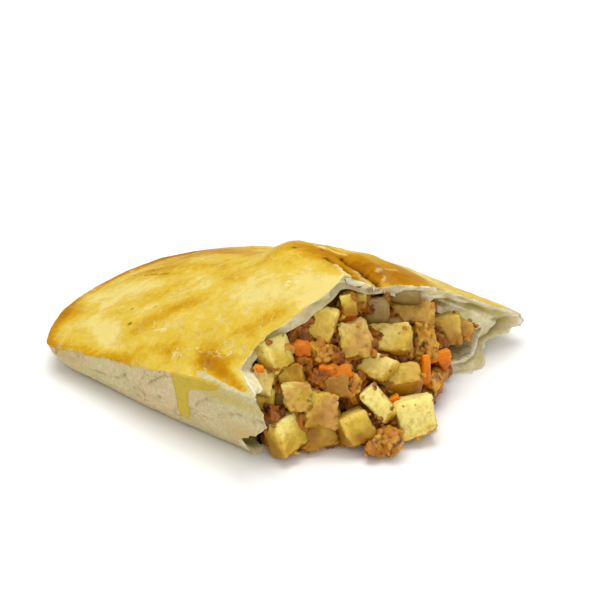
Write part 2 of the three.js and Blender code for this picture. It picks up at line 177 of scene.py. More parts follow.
# -------------------- the pasty's plan and heights
@dataclass(frozen=True)
class Layer:
    """One closed layer of the pasty: the dough's outside, or the hollow in it.

    Insets and levels are in millimetres. The pairs are values at the cut and at the tip.
    """

    fold_inset: float = 0.0
    seam_inset: float = 0.0
    tip_inset: float = 0.0
    drop: float = 0.0
    sag: float = 2.6
    rim: float = 1.6
    edge: float = 8.0
    span: float = 58.0
    power: float = 1.4
    seam_level: float = 7.6
    floor: float = 0.0
    fold_top: Tuple[float, float] = (27.0, 9.0)
    fold_base: Tuple[float, float] = (8.0, 8.0)
    rim_top: float = 4.0
    rim_base: float = 4.0


OUTSIDE = Layer()
HOLLOW = Layer(fold_inset=3.0, seam_inset=12.0, tip_inset=13.0, drop=3.4, sag=1.6, rim=15.5, edge=7.6,
               span=48.0, power=1.6, seam_level=6.4, floor=3.2, fold_top=(22.0, 8.0),
               fold_base=(5.0, 3.0), rim_top=3.2, rim_base=2.4)


@dataclass
class Sheets:
    """The two surfaces of a layer on one grid of columns, spread from the spine to the outline."""

    top: Array
    base: Array
    on_seam: Array


@dataclass(frozen=True)
class Plan:
    """The pasty seen from above, and the heights of its layers."""

    # The pressed seam is a superellipse: its middle, its reach to the tip, and its reach and power
    # on the far side and on the near side
    seam_x: float = 4.0
    seam_y: float = 33.6
    seam_reach: float = 89.0
    seam_out: float = 53.6
    seam_under: float = 65.6
    seam_power_out: float = 2.15
    seam_power_under: float = 2.5
    # The folded side: y at the cut and at the tip, and the length over which it straightens
    fold_at_cut: float = -9.2
    fold_at_tip: float = -11.6
    fold_straightens: float = 36.0
    tip_rounding: float = 2.5
    cut_skew: float = 0.08
    # The line from which the surfaces spread to the outline
    spine_y: float = 33.6
    spine_end: float = -46.0
    # Heights: the ridge, the tuck under the seam, and where the fold's rounding starts
    crest_high: float = 37.6
    crest_low: float = 28.8
    crest_slope: float = 50.0
    undercut_rise: float = 4.8
    undercut_width: float = 21.0
    fold_level_cut: float = 21.0
    fold_level_tip: float = 7.2
    cut_relief: float = 14.0
    shoulder_power: float = 2.2
    # The middle of the cut, from which directions in it are taken
    hub_y: float = 30.0
    hub_z: float = 10.0
    # The torn edge: direction in degrees, and millimetres past the knife's line
    tear_at: Tuple[float, ...] = (-24.0, -19.0, -16.0, -12.6, -9.3, -6.1, -4.6, -1.5, 1.5, 4.4, 7.3, 10.2,
                                  12.0, 12.9, 15.7, 17.0, 18.0, 19.5, 21.0, 23.0, 37.0, 45.0, 54.0, 61.0,
                                  66.0, 73.0, 78.0, 83.0, 86.0, 88.5, 92.0, 95.0, 100.0, 104.0, 109.0,
                                  115.0, 122.0)
    tear_reach: Tuple[float, ...] = (0.0, -0.6, -0.6, -0.2, -1.0, -0.8, 0.6, 3.6, 6.8, 8.6, 10.0, 9.2,
                                     8.7, 7.1, 7.2, 5.6, 3.2, 0.1, -3.0, -3.9, -4.3, -2.9, -1.6, -1.8,
                                     -1.2, -1.3, -1.8, -2.6, -1.6, 1.4, 3.2, 3.6, 5.2, 4.6, 3.0,
                                     1.6, 0.3)

    def cut(self, y: Array) -> Array:
        """The knife's line: x of the cut at each y."""
        return self.cut_skew * y

    def fold(self, x: Array) -> Array:
        """The folded long side: y at each x."""
        return mix(self.fold_at_cut, self.fold_at_tip, smooth(-x / self.fold_straightens))

    def reach_factor(self, along: Array, across: Array, seam_inset: float = 0.0,
                     tip_inset: float = 0.0) -> Array:
        """How many times a step from the seam's middle fits between that middle and the seam.

        The seam is a superellipse, (|along|/a)^p + (|across|/b)^p = 1, with its own b and p on
        either side.

        Args:
            along: the step's length along x.
            across: the step's length along y.
            seam_inset: how far the seam is drawn in at its sides.
            tip_inset: how far it is drawn in at the tip.

        Returns:
            The factor for each step, 1 on the seam and more inside it.
        """
        outer = across > 0
        depth = np.where(outer, self.seam_out, self.seam_under) - seam_inset
        power = np.where(outer, self.seam_power_out, self.seam_power_under)
        gauge = np.abs(along / (self.seam_reach - tip_inset)) ** power + np.abs(across / depth) ** power
        return np.maximum(gauge, 1e-9) ** (-1.0 / power)

    def seam_distance(self, x: Array, y: Array) -> Array:
        """How far inside the seam a place is. Past the cut the seam runs straight on.

        Args:
            x: towards the spilled filling.
            y: towards the seam.

        Returns:
            Millimetres inside the seam, 0 outside it.
        """
        along = np.minimum(-1.6, x - self.seam_x)
        across = y - self.seam_y
        return np.maximum(0.0, np.hypot(along, across) * (self.reach_factor(along, across) - 1.0))

    def crest(self, x: Array) -> Array:
        """Height of the dome's ridge: high at the cut, lower towards the tip."""
        return mix(self.crest_high, self.crest_low, smooth(-x / self.crest_slope))

    def dome(self, x: Array, y: Array, layer: Layer) -> Array:
        """Ceiling of a layer: edge + (crest - drop - edge) (1 - (1 - d)^p), d = depth / span.

        Low swells are added, and beyond the split in the crest the broken edge sags.

        Args:
            x: towards the spilled filling.
            y: towards the seam.
            layer: which layer.

        Returns:
            The height for each place.
        """
        depth = np.clip((self.seam_distance(x, y) - layer.rim) / layer.span, 0.0, 1.0)
        swell = 0.6 * np.sin(x / 9 + y / 18) + 0.5 * np.sin(y / 6.4 - x / 25 + 1.3)
        swell += 2.8 * bell((x + y - 7.5) / 9.0) * bell((x - y + 62.0) / 22.0)
        swell -= 2.4 * bell((x + y - 29.0) / 8.0) * bell((x - y + 54.0) / 14.0)
        rise = 1.0 - (1.0 - depth) ** layer.power
        sag = layer.sag * smooth((y - 28.0) / 5.0) * smooth((x + 13.0) / 12.0)
        sag = sag * (1.0 - smooth((y - 44.0) / 12.0))
        return mix(layer.edge, self.crest(x) - layer.drop, rise) + swell * smooth(depth * 4) - sag

    def outline(self, layer: Layer) -> Tuple[Array, Array, float]:
        """The layer's outline from above: folded side, rounded tip corner, seam.

        Args:
            layer: whose outline.

        Returns:
            Points (n, 2), the length up to each, and the length up to the tip corner's middle.
        """
        turn = np.linspace(-math.pi / 2, math.pi / 2, 3001)
        along, across = -np.cos(turn), np.sin(turn)
        factor = self.reach_factor(along, across, layer.seam_inset, layer.tip_inset)
        seam = np.stack([self.seam_x + along * factor, self.seam_y + across * factor], -1)
        first = int(np.argmax(seam[:, 1] > self.fold(seam[:, 0]) + layer.fold_inset))
        corner, seam = seam[first], seam[first:]
        seam = seam[np.hypot(*(seam - corner).T) > self.tip_rounding]
        top = self.seam_y + self.seam_out - layer.seam_inset
        seam = np.concatenate([seam, [[self.cut(top), top]]])
        x = np.linspace(self.cut(self.fold_at_cut), corner[0] + self.tip_rounding, 200)
        side = np.stack([x, self.fold(x) + layer.fold_inset], -1)
        t = np.linspace(0, 1, 40)[1:-1, None]
        bend = (1 - t) ** 2 * side[-1] + 2 * t * (1 - t) * corner + t ** 2 * seam[0]
        line = np.concatenate([side, bend, seam])
        length = np.concatenate([[0.0], np.cumsum(np.hypot(*np.diff(line, axis=0).T))])
        return line, length, float(length[len(side) + len(t) // 2])

    def sheets(self, layer: Layer, side: int, end: int, rows: int, base_rows: int) -> Sheets:
        """Both surfaces of a layer.

        A point is spine + (outline - spine) w. Its height is mix(level, ceiling, shoulder(e)) on
        top and mix(level, floor, shoulder(e)) below, e being the distance to the outline.

        Args:
            layer: which layer.
            side: columns along each long side.
            end: columns of the fan round the tip.
            rows: rows of the upper surface, from spine to outline.
            base_rows: rows of the lower surface.

        Returns:
            The two surfaces.
        """
        line, length, corner = self.outline(layer)
        k = np.linspace(0.0, 1.0, side + 1) ** 1.25
        fan = np.linspace(corner * 0.74, corner + 50.0, end + 1)
        q = np.concatenate([k * fan[0], fan[1:-1], mix(length[-1], fan[-1], k[::-1])])
        edge = np.stack([np.interp(q, length, line[:, 0]), np.interp(q, length, line[:, 1])], -1)
        start = self.cut(self.spine_y)
        run = mix(start, self.spine_end, k)
        spine_x = np.concatenate([run, np.full(end - 1, self.spine_end), run[::-1]])
        spine = np.stack([spine_x, np.full_like(spine_x, self.spine_y)], -1)
        along = np.clip(q / corner, 0, 1)[:, None]
        on_seam = smooth((q - corner + 11.0) / 19.0)[:, None]
        width = np.hypot(*(edge - spine).T)[:, None]
        fold_level = mix(self.fold_level_cut, self.fold_level_tip, along ** 1.2)
        level = mix(fold_level, layer.seam_level, on_seam)

        def grid(count: int, radii: Tuple[float, float], rim: float, power: float, upper: bool) -> Array:
            """One surface.

            Args:
                count: rows from spine to outline.
                radii: rounding at the fold, at the cut and at the tip.
                rim: rounding at the seam.
                power: how full the rounding is.
                upper: the upper surface rather than the lower one.

            Returns:
                Points, shape (columns, count + 1, 3).
            """
            # Rows crowd towards the outline, where the surface stands steep
            w = 1.0 - (1.0 - np.linspace(0, 1, count + 1)) ** (1.6 if upper else 2.4)
            xy = spine[:, None] + (edge - spine)[:, None] * w[None, :, None]
            x, y = xy[..., 0], xy[..., 1]
            radius = mix(mix(radii[0], radii[1], along), rim, on_seam)
            round_off = shoulder((1.0 - w)[None] * width, radius, power)
            if upper:
                limit = self.dome(x, y, layer)
            else:
                near = 1.0 - smooth(self.seam_distance(x, y) / self.undercut_width)
                limit = layer.floor + self.undercut_rise * on_seam * near
            return np.stack([x, y, mix(level, limit, round_off)], -1)

        return Sheets(
            top=grid(rows, layer.fold_top, layer.rim_top, self.shoulder_power, True),
            base=grid(base_rows, layer.fold_base, layer.rim_base, 2.0, False),
            on_seam=on_seam[:, 0],
        )

    def direction(self, y: Array, z: Array) -> Array:
        """Degrees from the middle of the cut: 0 is the fold, 90 the crest, 180 the seam."""
        return np.degrees(np.arctan2(z - self.hub_z, self.hub_y - y))

    def tear(self, y: Array, z: Array) -> Array:
        """How far the torn edge stands out past the knife's line.

        The table is read at the direction of a place from the middle of the cut. Two waves are
        added, smaller at the fold, and an apron of dough that sticks out low at the seam.

        Args:
            y: towards the seam.
            z: up.

        Returns:
            Millimetres past the line for each place.
        """
        wave = 0.8 * np.sin(y / 3.4 + z / 5.0) + 0.7 * np.sin(y / 7.5 - z / 3.1 + 2.0)
        apron = 4.5 * hump((y - 65.0) / 10.0) * hump(z / 5.0)
        strength = mix(0.2, 1.0, smooth((y - 24.0) / 16.0))
        table = np.interp(self.direction(y, z), self.tear_at, self.tear_reach)
        return table + apron + wave * strength


PLAN = Plan()


# -------------------- from arrays to meshes
@dataclass(frozen=True)
class Seat:
    """Where the pasty's own millimetres lie in the frame."""

    offset: Tuple[float, float, float]

    @classmethod
    def from_frame(cls) -> "Seat":
        """Finds the seat from the crust's box: its tip, its folded side and its base.

        Returns:
            The seat.
        """
        low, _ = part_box("crust")
        tip_x = PLAN.seam_x - PLAN.seam_reach
        return cls((low.x - tip_x / 1000.0, low.y - PLAN.fold_at_tip / 1000.0, low.z))

    def metres(self, points: Array) -> Array:
        """Turns the pasty's millimetres into the frame's metres."""
        return points / 1000.0 + np.array(self.offset)


@dataclass
class Surface:
    """A mesh in the making: points, faces, and a value or more for each point."""

    points: Array
    quads: Array
    values: Dict[str, Array] = field(default_factory=dict)

    @staticmethod
    def from_grid(points: Array, flip: bool = False, wrap: bool = False) -> "Surface":
        """Quads over a grid (rows, columns, 3), or over each of many grids (n, rows, columns, 3).

        Args:
            points: the grid's points.
            flip: turns the faces over.
            wrap: joins the last column to the first.

        Returns:
            The surface, without values.
        """
        grids = points[None] if points.ndim == 3 else points
        count, rows, columns = grids.shape[:3]
        index = np.arange(rows * columns).reshape(rows, columns)
        if wrap:
            index = np.concatenate([index, index[:, :1]], axis=1)
        quad = np.stack([index[:-1, :-1], index[1:, :-1], index[1:, 1:], index[:-1, 1:]], -1)
        quad = quad.reshape(-1, 4)
        if flip:
            quad = quad[:, ::-1]
        quads = (quad[None] + (np.arange(count) * rows * columns)[:, None, None]).reshape(-1, 4)
        return Surface(grids.reshape(-1, 3), quads)

    @staticmethod
    def joined(parts: Sequence["Surface"]) -> "Surface":
        """Several surfaces as one. A value that a part lacks is 0 there.

        Args:
            parts: the surfaces.

        Returns:
            One surface.
        """
        names = sorted({name for part in parts for name in part.values})
        starts = np.cumsum([0] + [len(part.points) for part in parts[:-1]])
        return Surface(
            np.concatenate([part.points for part in parts]),
            np.concatenate([part.quads + start for part, start in zip(parts, starts)]),
            {name: np.concatenate([part.values.get(name, np.zeros(len(part.points))) for part in parts])
             for name in names},
        )

    def to_object(self, name: str, seat: Seat, weld: float = 1e-3) -> bpy.types.Object:
        """Makes the mesh: shared points are welded, and slivers that this leaves are dropped.

        Args:
            name: the object's name.
            seat: where the pasty lies.
            weld: distance in millimetres under which points are one.

        Returns:
            The object, in the scene.
        """
        mesh = bpy.data.meshes.new(name)
        mesh.from_pydata(seat.metres(self.points), [], self.quads.tolist())
        for key, value in self.values.items():
            layer = mesh.attributes.new(key, "FLOAT", "POINT")
            layer.data.foreach_set("value", value.astype(np.float32))
        work = bmesh.new()
        work.from_mesh(mesh)
        bmesh.ops.remove_doubles(work, verts=work.verts, dist=weld / 1000.0)
        work.to_mesh(mesh)
        work.free()
        mesh.validate()
        mesh.shade_smooth()
        made = bpy.data.objects.new(name, mesh)
        bpy.context.scene.collection.objects.link(made)
        return made


def points_of(item: bpy.types.Object, seat: Seat) -> Tuple[Array, Array]:
    """Reads an object's points and their normals.

    Args:
        item: the object.
        seat: where the pasty lies.

    Returns:
        Points in the pasty's millimetres, and normals, each of shape (n, 3).
    """
    mesh = item.data
    points = np.empty(len(mesh.vertices) * 3)
    normals = np.empty(len(mesh.vertices) * 3)
    mesh.vertices.foreach_get("co", points)
    mesh.vertices.foreach_get("normal", normals)
    return (points.reshape(-1, 3) - np.array(seat.offset)) * 1000.0, normals.reshape(-1, 3)


def value_of(item: bpy.types.Object, name: str) -> Array:
    """Reads a value that the mesh keeps for each point.

    Args:
        item: the object.
        name: the value's name.

    Returns:
        One number for each point.
    """
    found = np.empty(len(item.data.vertices))
    item.data.attributes[name].data.foreach_get("value", found)
    return found


def set_points(item: bpy.types.Object, points: Array, seat: Seat) -> None:
    """Puts points in the pasty's millimetres into a mesh."""
    item.data.vertices.foreach_set("co", seat.metres(points).reshape(-1))
    item.data.update()


def set_value(item: bpy.types.Object, name: str, value: Array) -> None:
    """Keeps a value for each point in the mesh, for its material to read."""
    layer = item.data.attributes.get(name) or item.data.attributes.new(name, "FLOAT", "POINT")
    layer.data.foreach_set("value", value.astype(np.float32))


# -------------------- finishes
def linear(colour: str) -> Tuple[float, float, float, float]:
    """Turns an sRGB hex colour into a linear one.

    Args:
        colour: such as #C89A14.

    Returns:
        Linear red, green, blue and alpha.
    """
    parts = [int(colour[i:i + 2], 16) / 255.0 for i in (1, 3, 5)]
    curve = [p / 12.92 if p <= 0.04045 else ((p + 0.055) / 1.055) ** 2.4 for p in parts]
    return (curve[0], curve[1], curve[2], 1.0)


def per_metre(size_mm: float) -> float:
    """Texture scale whose pattern repeats about once in `size_mm` of Object coordinates."""
    return 1000.0 / size_mm


Socket = Any


@dataclass
class Recipe:
    """A material's node tree in the making."""

    tree: bpy.types.NodeTree

    def node(self, kind: str, settings: Optional[Dict[str, Any]] = None,
             **inputs: Any) -> bpy.types.Node:
        """Adds a node.

        Args:
            kind: the node's type name.
            settings: the node's own properties.
            inputs: values or sockets by input name, with _ for a space, or by number as i0, i1.

        Returns:
            The node.
        """
        made = self.tree.nodes.new(kind)
        for key, value in (settings or {}).items():
            setattr(made, key, value)
        for key, value in inputs.items():
            number = key[1:]
            target = made.inputs[int(number)] if number.isdigit() else made.inputs[key.replace("_", " ")]
            if isinstance(value, bpy.types.NodeSocket):
                self.tree.links.new(value, target)
            else:
                target.default_value = value
        return made

    def value(self, name: str) -> Socket:
        """Reads a value kept in the mesh."""
        return self.node("ShaderNodeAttribute", {"attribute_name": name}).outputs["Fac"]

    def place(self) -> Socket:
        """The place on the object, in metres."""
        return self.node("ShaderNodeTexCoord").outputs["Object"]

    def speckle(self, where: Socket, size_mm: float, detail: float = 3.0, rough: float = 0.55,
                distortion: float = 0.0) -> Socket:
        """Cloudy noise with grains of about `size_mm`, from 0 to 1."""
        return self.node("ShaderNodeTexNoise", Vector=where, Scale=per_metre(size_mm), Detail=detail,
                         Roughness=rough, Distortion=distortion).outputs["Fac"]

    def ramp(self, value: Socket, low: float, high: float, start: float = 0.0,
             stop: float = 1.0) -> Socket:
        """Smooth step of a value from `start` at `low` to `stop` at `high`."""
        return self.node("ShaderNodeMapRange", {"interpolation_type": "SMOOTHSTEP"}, i0=value, i1=low,
                         i2=high, i3=start, i4=stop).outputs["Result"]

    def contour(self, value: Socket, width: float) -> Socket:
        """Thin lines where a cloudy noise crosses its middle."""
        return self.ramp(self.sum("ABSOLUTE", self.sum("SUBTRACT", value, 0.5), 0.0), 0.0, width, 1.0, 0.0)

    def sum(self, kind: str, a: Any, b: Any) -> Socket:
        """One step of arithmetic, such as ADD or MULTIPLY."""
        return self.node("ShaderNodeMath", {"operation": kind}, i0=a, i1=b).outputs[0]

    def swing(self, value: Socket, strength: float) -> Socket:
        """A cloudy value's swing about its middle, times a strength."""
        return self.sum("MULTIPLY", self.sum("SUBTRACT", value, 0.5), strength)

    def blend(self, share: Any, a: Any, b: Any) -> Socket:
        """Mixes two colours.

        Args:
            share: 0 for the first and 1 for the second.
            a: the first, a socket or a hex colour.
            b: the second.

        Returns:
            The mixed colour.
        """
        a, b = (linear(c) if isinstance(c, str) else c for c in (a, b))
        made = self.node("ShaderNodeMix", {"data_type": "RGBA"}, i0=share, i6=a, i7=b)
        return made.outputs[2]

    def bump(self, height: Socket, strength: float, depth_mm: float,
             under: Optional[Socket] = None) -> Socket:
        """Turns a height into relief.

        Args:
            height: between 0 and 1.
            strength: share of the relief that shows.
            depth_mm: what a height of 1 stands for.
            under: relief that this one lies over.

        Returns:
            The bent normal.
        """
        extra = {"Normal": under} if under is not None else {}
        return self.node("ShaderNodeBump", Strength=strength, Distance=depth_mm / 1000.0,
                         Height=height, **extra).outputs["Normal"]


@dataclass(frozen=True)
class Finish:
    """What every finish has: a name and the settings of its surface."""

    name: str
    roughness: float = 0.5
    ior: float = 1.45
    gloss: float = 0.25
    soft_share: float = 0.0
    soft_depth: float = 1.5

    def paint(self, recipe: Recipe) -> Tuple[Socket, Optional[Socket], Optional[Socket]]:
        """Gives the colour, and where it has them the relief and the roughness."""
        raise NotImplementedError

    def make(self) -> bpy.types.Material:
        """Builds the material. A value that is the same all over sits on the shader itself.

        Returns:
            The material.
        """
        material = bpy.data.materials.new(self.name)
        material.use_nodes = True
        tree = material.node_tree
        recipe = Recipe(tree)
        shader = next(n for n in tree.nodes if n.type == "BSDF_PRINCIPLED")
        colour, relief, rough = self.paint(recipe)
        tree.links.new(colour, shader.inputs["Base Color"])
        if relief is not None:
            tree.links.new(relief, shader.inputs["Normal"])
        if rough is not None:
            tree.links.new(rough, shader.inputs["Roughness"])
        else:
            shader.inputs["Roughness"].default_value = self.roughness
        shader.inputs["IOR"].default_value = self.ior
        shader.inputs["Specular IOR Level"].default_value = self.gloss
        if self.soft_share > 0:
            shader.inputs["Subsurface Weight"].default_value = self.soft_share
            # Red light goes farthest into food, blue least
            shader.inputs["Subsurface Radius"].default_value = (1.0, 0.6, 0.25)
            shader.inputs["Subsurface Scale"].default_value = self.soft_depth / 1000.0
        return material


@dataclass(frozen=True)
class GlazedPastry(Finish):
    """Shortcrust brushed with egg and baked, and its bare underside.

    The egg film gives a golden, slightly glossy skin that browns in blotches and cracks into fine
    pale lines. Where the brush didn't reach, the dough stays pale, dry and floury.
    """

    # The egg film from its palest place to its darkest, its flakes and painted glints, the painted shade
    # in its cracks, and burnt specks
    light: str = "#E1CC78"
    yellow: str = "#D6B53C"
    golden: str = "#C89A14"
    toasted: str = "#B87E08"
    burnt: str = "#985E04"
    flake: str = "#EFE0A0"
    crack_shade: str = "#361C04"
    speck: str = "#3A2A18"
    # The bare dough
    bare: str = "#C6B988"
    bare_pink: str = "#CCB48A"
    bare_green: str = "#B5AE7C"
    flour: str = "#E0D8B4"
    tanned: str = "#C49E5C"
    crack: str = "#94804E"
    # Egg that ran down over it
    drip: str = "#C8AE44"
    drip_edge: str = "#B49A36"
    drip_stain: str = "#C2A63A"
    # Sizes of the patterns in millimetres: in the film, between film and dough, and in the dough
    clouds_mm: float = 15.0
    mottles_mm: float = 4.5
    fine_mm: float = 1.5
    long_cracks_mm: float = 8.0
    short_cracks_mm: float = 3.2
    patches_mm: float = 6.0
    ragged_mm: float = 2.4
    grain_mm: float = 0.8
    pink_mm: float = 13.0
    green_mm: float = 8.0
    hairs_mm: float = 24.0
    hair_patches_mm: float = 14.0
    # How much each pattern adds to the browning
    cloud_heat: float = 1.3
    mottle_heat: float = 1.0
    fine_heat: float = 0.8

    def egg(self, r: Recipe, where: Socket, mottled: Socket, lines: Socket, grain: Socket) -> Socket:
        """Colour of the egg film: browning by place, by cloud and by mottling, then pale cracks.

        Args:
            r: the node tree to add to.
            where: the place on the object.
            mottled: cloudy noise of a few millimetres.
            lines: 1 in the film's cracks.
            grain: floury noise.

        Returns:
            The colour.
        """
        cloud = r.speckle(where, self.clouds_mm, 3.0, 0.55, 0.5)
        heat = r.sum("ADD", r.value("brown"), r.swing(cloud, self.cloud_heat))
        heat = r.sum("ADD", heat, r.swing(mottled, self.mottle_heat))
        fine = r.speckle(where, self.fine_mm, 5.0, 0.7)
        heat = r.sum("ADD", heat, r.swing(fine, self.fine_heat))
        skin = self.light
        for start, full, colour in ((-0.3, 0.12, self.yellow), (0.1, 0.5, self.golden),
                                    (0.45, 0.95, self.toasted), (0.95, 1.6, self.burnt)):
            skin = r.blend(r.ramp(heat, start, full), skin, colour)
        pale = r.ramp(heat, 0.5, 1.0, 1.0, 0.15)
        skin = r.blend(r.sum("MULTIPLY", lines, r.sum("MULTIPLY", pale, 0.75)), skin, self.flake)
        skin = r.blend(r.sum("MULTIPLY", r.ramp(grain, 0.5, 0.75, 0.0, 0.3), pale), skin, self.light)
        # Pale flakes, and painted highlights where the gloss glints
        return r.blend(r.value("flake_and_glint"), skin, self.flake)

    def dough(self, r: Recipe, where: Socket, grain: Socket) -> Socket:
        """Colour of the bare dough: cream with pink and green clouds, floury, with dark cracks.

        Args:
            r: the node tree to add to.
            where: the place on the object.
            grain: floury noise.

        Returns:
            The colour.
        """
        pink = r.ramp(r.speckle(where, self.pink_mm, 3.0, 0.5, 0.5), 0.42, 0.6)
        colour = r.blend(pink, self.bare, self.bare_pink)
        green = r.ramp(r.speckle(where, self.green_mm, 4.0), 0.5, 0.7, 0.0, 0.6)
        colour = r.blend(green, colour, self.bare_green)
        colour = r.blend(r.ramp(grain, 0.42, 0.72, 0.0, 0.55), colour, self.flour)
        colour = r.blend(r.value("tan"), colour, self.tanned)
        hair = r.contour(r.speckle(where, self.hairs_mm, 7.0, 0.6, 0.6), 0.006)
        hair = r.sum("MULTIPLY", hair, r.ramp(r.speckle(where, self.hair_patches_mm, 2.0), 0.46, 0.6))
        return r.blend(r.sum("MAXIMUM", hair, r.value("crack")), colour, self.crack)

    def paint(self, recipe: Recipe) -> Tuple[Socket, Optional[Socket], Optional[Socket]]:
        """Blends the glazed and the bare dough by the values kept in the mesh.

        Args:
            recipe: the node tree to add to.

        Returns:
            The colour, the relief and the roughness.
        """
        r = recipe
        where = r.place()
        mottled = r.speckle(where, self.mottles_mm, 5.0, 0.62, 0.4)
        grain = r.speckle(where, self.grain_mm, 4.0, 0.65)
        # Cracks in the egg film are contour lines of a warped noise, and come in patches
        long = r.contour(r.speckle(where, self.long_cracks_mm, 5.0, 0.58, 1.0), 0.016)
        short = r.contour(r.speckle(where, self.short_cracks_mm, 5.0, 0.65, 0.6), 0.024)
        lines = r.sum("MAXIMUM", long, r.sum("MULTIPLY", short, 0.25))
        patches = r.sum("ADD", r.speckle(where, self.patches_mm, 3.0), r.value("flaky"))
        lines = r.sum("MULTIPLY", lines, r.ramp(patches, 0.45, 0.6, 0.08, 1.0))
        skin = self.egg(r, where, mottled, lines, grain)
        dough = self.dough(r, where, grain)
        # The egg's edge is ragged by a millimetre
        shift = r.swing(r.speckle(where, self.ragged_mm, 5.0, 0.65), 3.0)
        film = r.ramp(r.sum("ADD", r.value("glaze"), shift), -0.4, 0.5)
        colour = r.blend(film, dough, skin)
        run = r.sum("ADD", r.value("drip"), r.sum("MULTIPLY", shift, 0.3))
        wet = r.ramp(run, -0.3, 0.5)
        egg_run = r.blend(r.ramp(run, 0.1, 0.8), self.drip_edge, self.drip)
        colour = r.blend(wet, colour, egg_run)
        colour = r.blend(r.value("stain"), colour, self.drip_stain)
        # Painted shade in the bottoms of the cracks and the slits
        colour = r.blend(r.value("crack_shade"), colour, self.crack_shade)
        colour = r.blend(r.value("speck"), colour, self.speck)
        # Relief: flaky film on top, floury grain below
        flaky = r.sum("ADD", r.sum("MULTIPLY", mottled, 0.6), r.sum("MULTIPLY", lines, 0.25))
        relief = r.bump(flaky, 0.7, 0.6)
        relief = r.bump(grain, 0.6, 0.22, relief)
        dry = r.ramp(r.sum("MAXIMUM", film, wet), 0.0, 1.0, 0.82, 0.36)
        rough = r.sum("ADD", dry, r.swing(mottled, 0.25))
        return colour, relief, rough


@dataclass(frozen=True)
class TornDough(Finish):
    """The torn inside of the baked dough: steamed white layers, with olive shade painted into its pockets.
    """

    light: str = "#F2EACA"
    shade: str = "#DACD94"
    # Painted shade for the pockets
    pocket_shade: str = "#A8984A"
    # Painted shade under the wall over the filling, also used for a gravy stain on the seam's low lip
    under: str = "#A48C4C"
    wet: str = "#AE9440"
    stain: str = "#8A5A10"
    edge: str = "#FAF6E6"
    layers_mm: float = 3.0
    fine_mm: float = 0.9

    def paint(self, recipe: Recipe) -> Tuple[Socket, Optional[Socket], Optional[Socket]]:
        """White on the ridges, painted olive shade in the pockets and under the wall over the filling, and
        brown where gravy soaks in.

        Args:
            recipe: the node tree to add to.

        Returns:
            The colour, the relief, and no roughness of its own.
        """
        r = recipe
        where = r.place()
        tone = r.speckle(where, self.layers_mm, 5.0, 0.62, 0.6)
        colour = r.blend(r.ramp(tone, 0.36, 0.66), self.light, self.shade)
        # Painted shade in the pockets
        colour = r.blend(r.value("pocket_shade"), colour, self.pocket_shade)
        # Painted shade under the wall over the filling, and a gravy stain on the low lip
        colour = r.blend(r.value("under"), colour, self.under)
        colour = r.blend(r.value("rim"), colour, self.edge)
        soak_and_shade = r.sum("ADD", r.value("wet"), r.swing(tone, 1.0))
        colour = r.blend(r.ramp(soak_and_shade, 0.15, 0.6), colour, self.wet)
        colour = r.blend(r.ramp(soak_and_shade, 0.7, 1.2), colour, self.stain)
        fine = r.speckle(where, self.fine_mm, 5.0, 0.68)
        return colour, r.bump(fine, 0.7, 0.4), None


@dataclass(frozen=True)
class Cooked(Finish):
    """Boiled vegetable or meat: two flesh colours, a stain of gravy and a moist, uneven surface."""

    light: str = "#F5E588"
    middle: str = "#DFC04A"
    dark: str = "#A8780C"
    stain: str = "#945404"
    # Painted shade for the gaps between grains and pieces
    gap: str = "#2E1202"
    mash: str = "#CC9C54"
    speck: str = "#5A4410"
    # How strong the gravy's stain, the clouds in the flesh and the specks on it are
    stain_share: float = 0.5
    clouds: float = 0.9
    specks: float = 0.0
    grain_mm: float = 1.2
    relief_mm: float = 0.25
    clouds_mm: float = 5.0
    stain_mm: float = 3.4
    specks_mm: float = 1.3

    def paint(self, recipe: Recipe) -> Tuple[Socket, Optional[Socket], Optional[Socket]]:
        """Blends the flesh by each piece's own tint, stains it in blotches and paints shade into its gaps.

        Args:
            recipe: the node tree to add to.

        Returns:
            The colour, the relief and the roughness.
        """
        r = recipe
        where = r.place()
        blotch = r.speckle(where, self.clouds_mm, 4.0, 0.62, 0.4)
        grain = r.speckle(where, self.grain_mm, 5.0, 0.65)
        tint = r.value("tint")
        shade = r.sum("ADD", tint, r.swing(blotch, self.clouds))
        colour = r.blend(r.ramp(shade, -0.05, 0.5), self.light, self.middle)
        colour = r.blend(r.ramp(shade, 0.4, 1.1), colour, self.dark)
        colour = r.blend(r.value("mash"), colour, self.mash)
        colour = r.blend(r.ramp(grain, 0.4, 0.75, 0.0, 0.4), colour, self.dark)
        soak = r.sum("ADD", r.speckle(where, self.stain_mm, 4.0, 0.6), r.sum("MULTIPLY", tint, 0.12))
        colour = r.blend(r.ramp(soak, 0.55, 0.72, 0.0, self.stain_share), colour, self.stain)
        if self.specks:
            dots = r.ramp(r.speckle(where, self.specks_mm, 1.0), 0.73, 0.77, 0.0, self.specks)
            colour = r.blend(dots, colour, self.speck)
        # Painted shade in the gaps
        colour = r.blend(r.value("gap"), colour, self.gap)
        relief = r.bump(grain, 0.6, self.relief_mm)
        fibres = r.speckle(where, 0.45 * self.grain_mm, 4.0, 0.7)
        relief = r.bump(fibres, 0.5, 0.4 * self.relief_mm, relief)
        rough = r.ramp(blotch, 0.35, 0.65, self.roughness + 0.12, self.roughness - 0.12)
        return colour, relief, rough


@dataclass(frozen=True)
class PaleFloor(Finish):
    """A sheet of matt white card under the pasty."""

    colour: str = "#FCFCFB"
    cloud: str = "#F6F6F5"

    def paint(self, recipe: Recipe) -> Tuple[Socket, Optional[Socket], Optional[Socket]]:
        """One pale tone with the faintest cloud in it."""
        share = recipe.ramp(recipe.speckle(recipe.place(), 300.0), 0.0, 1.0, 0.0, 0.1)
        return recipe.blend(share, self.colour, self.cloud), None, None


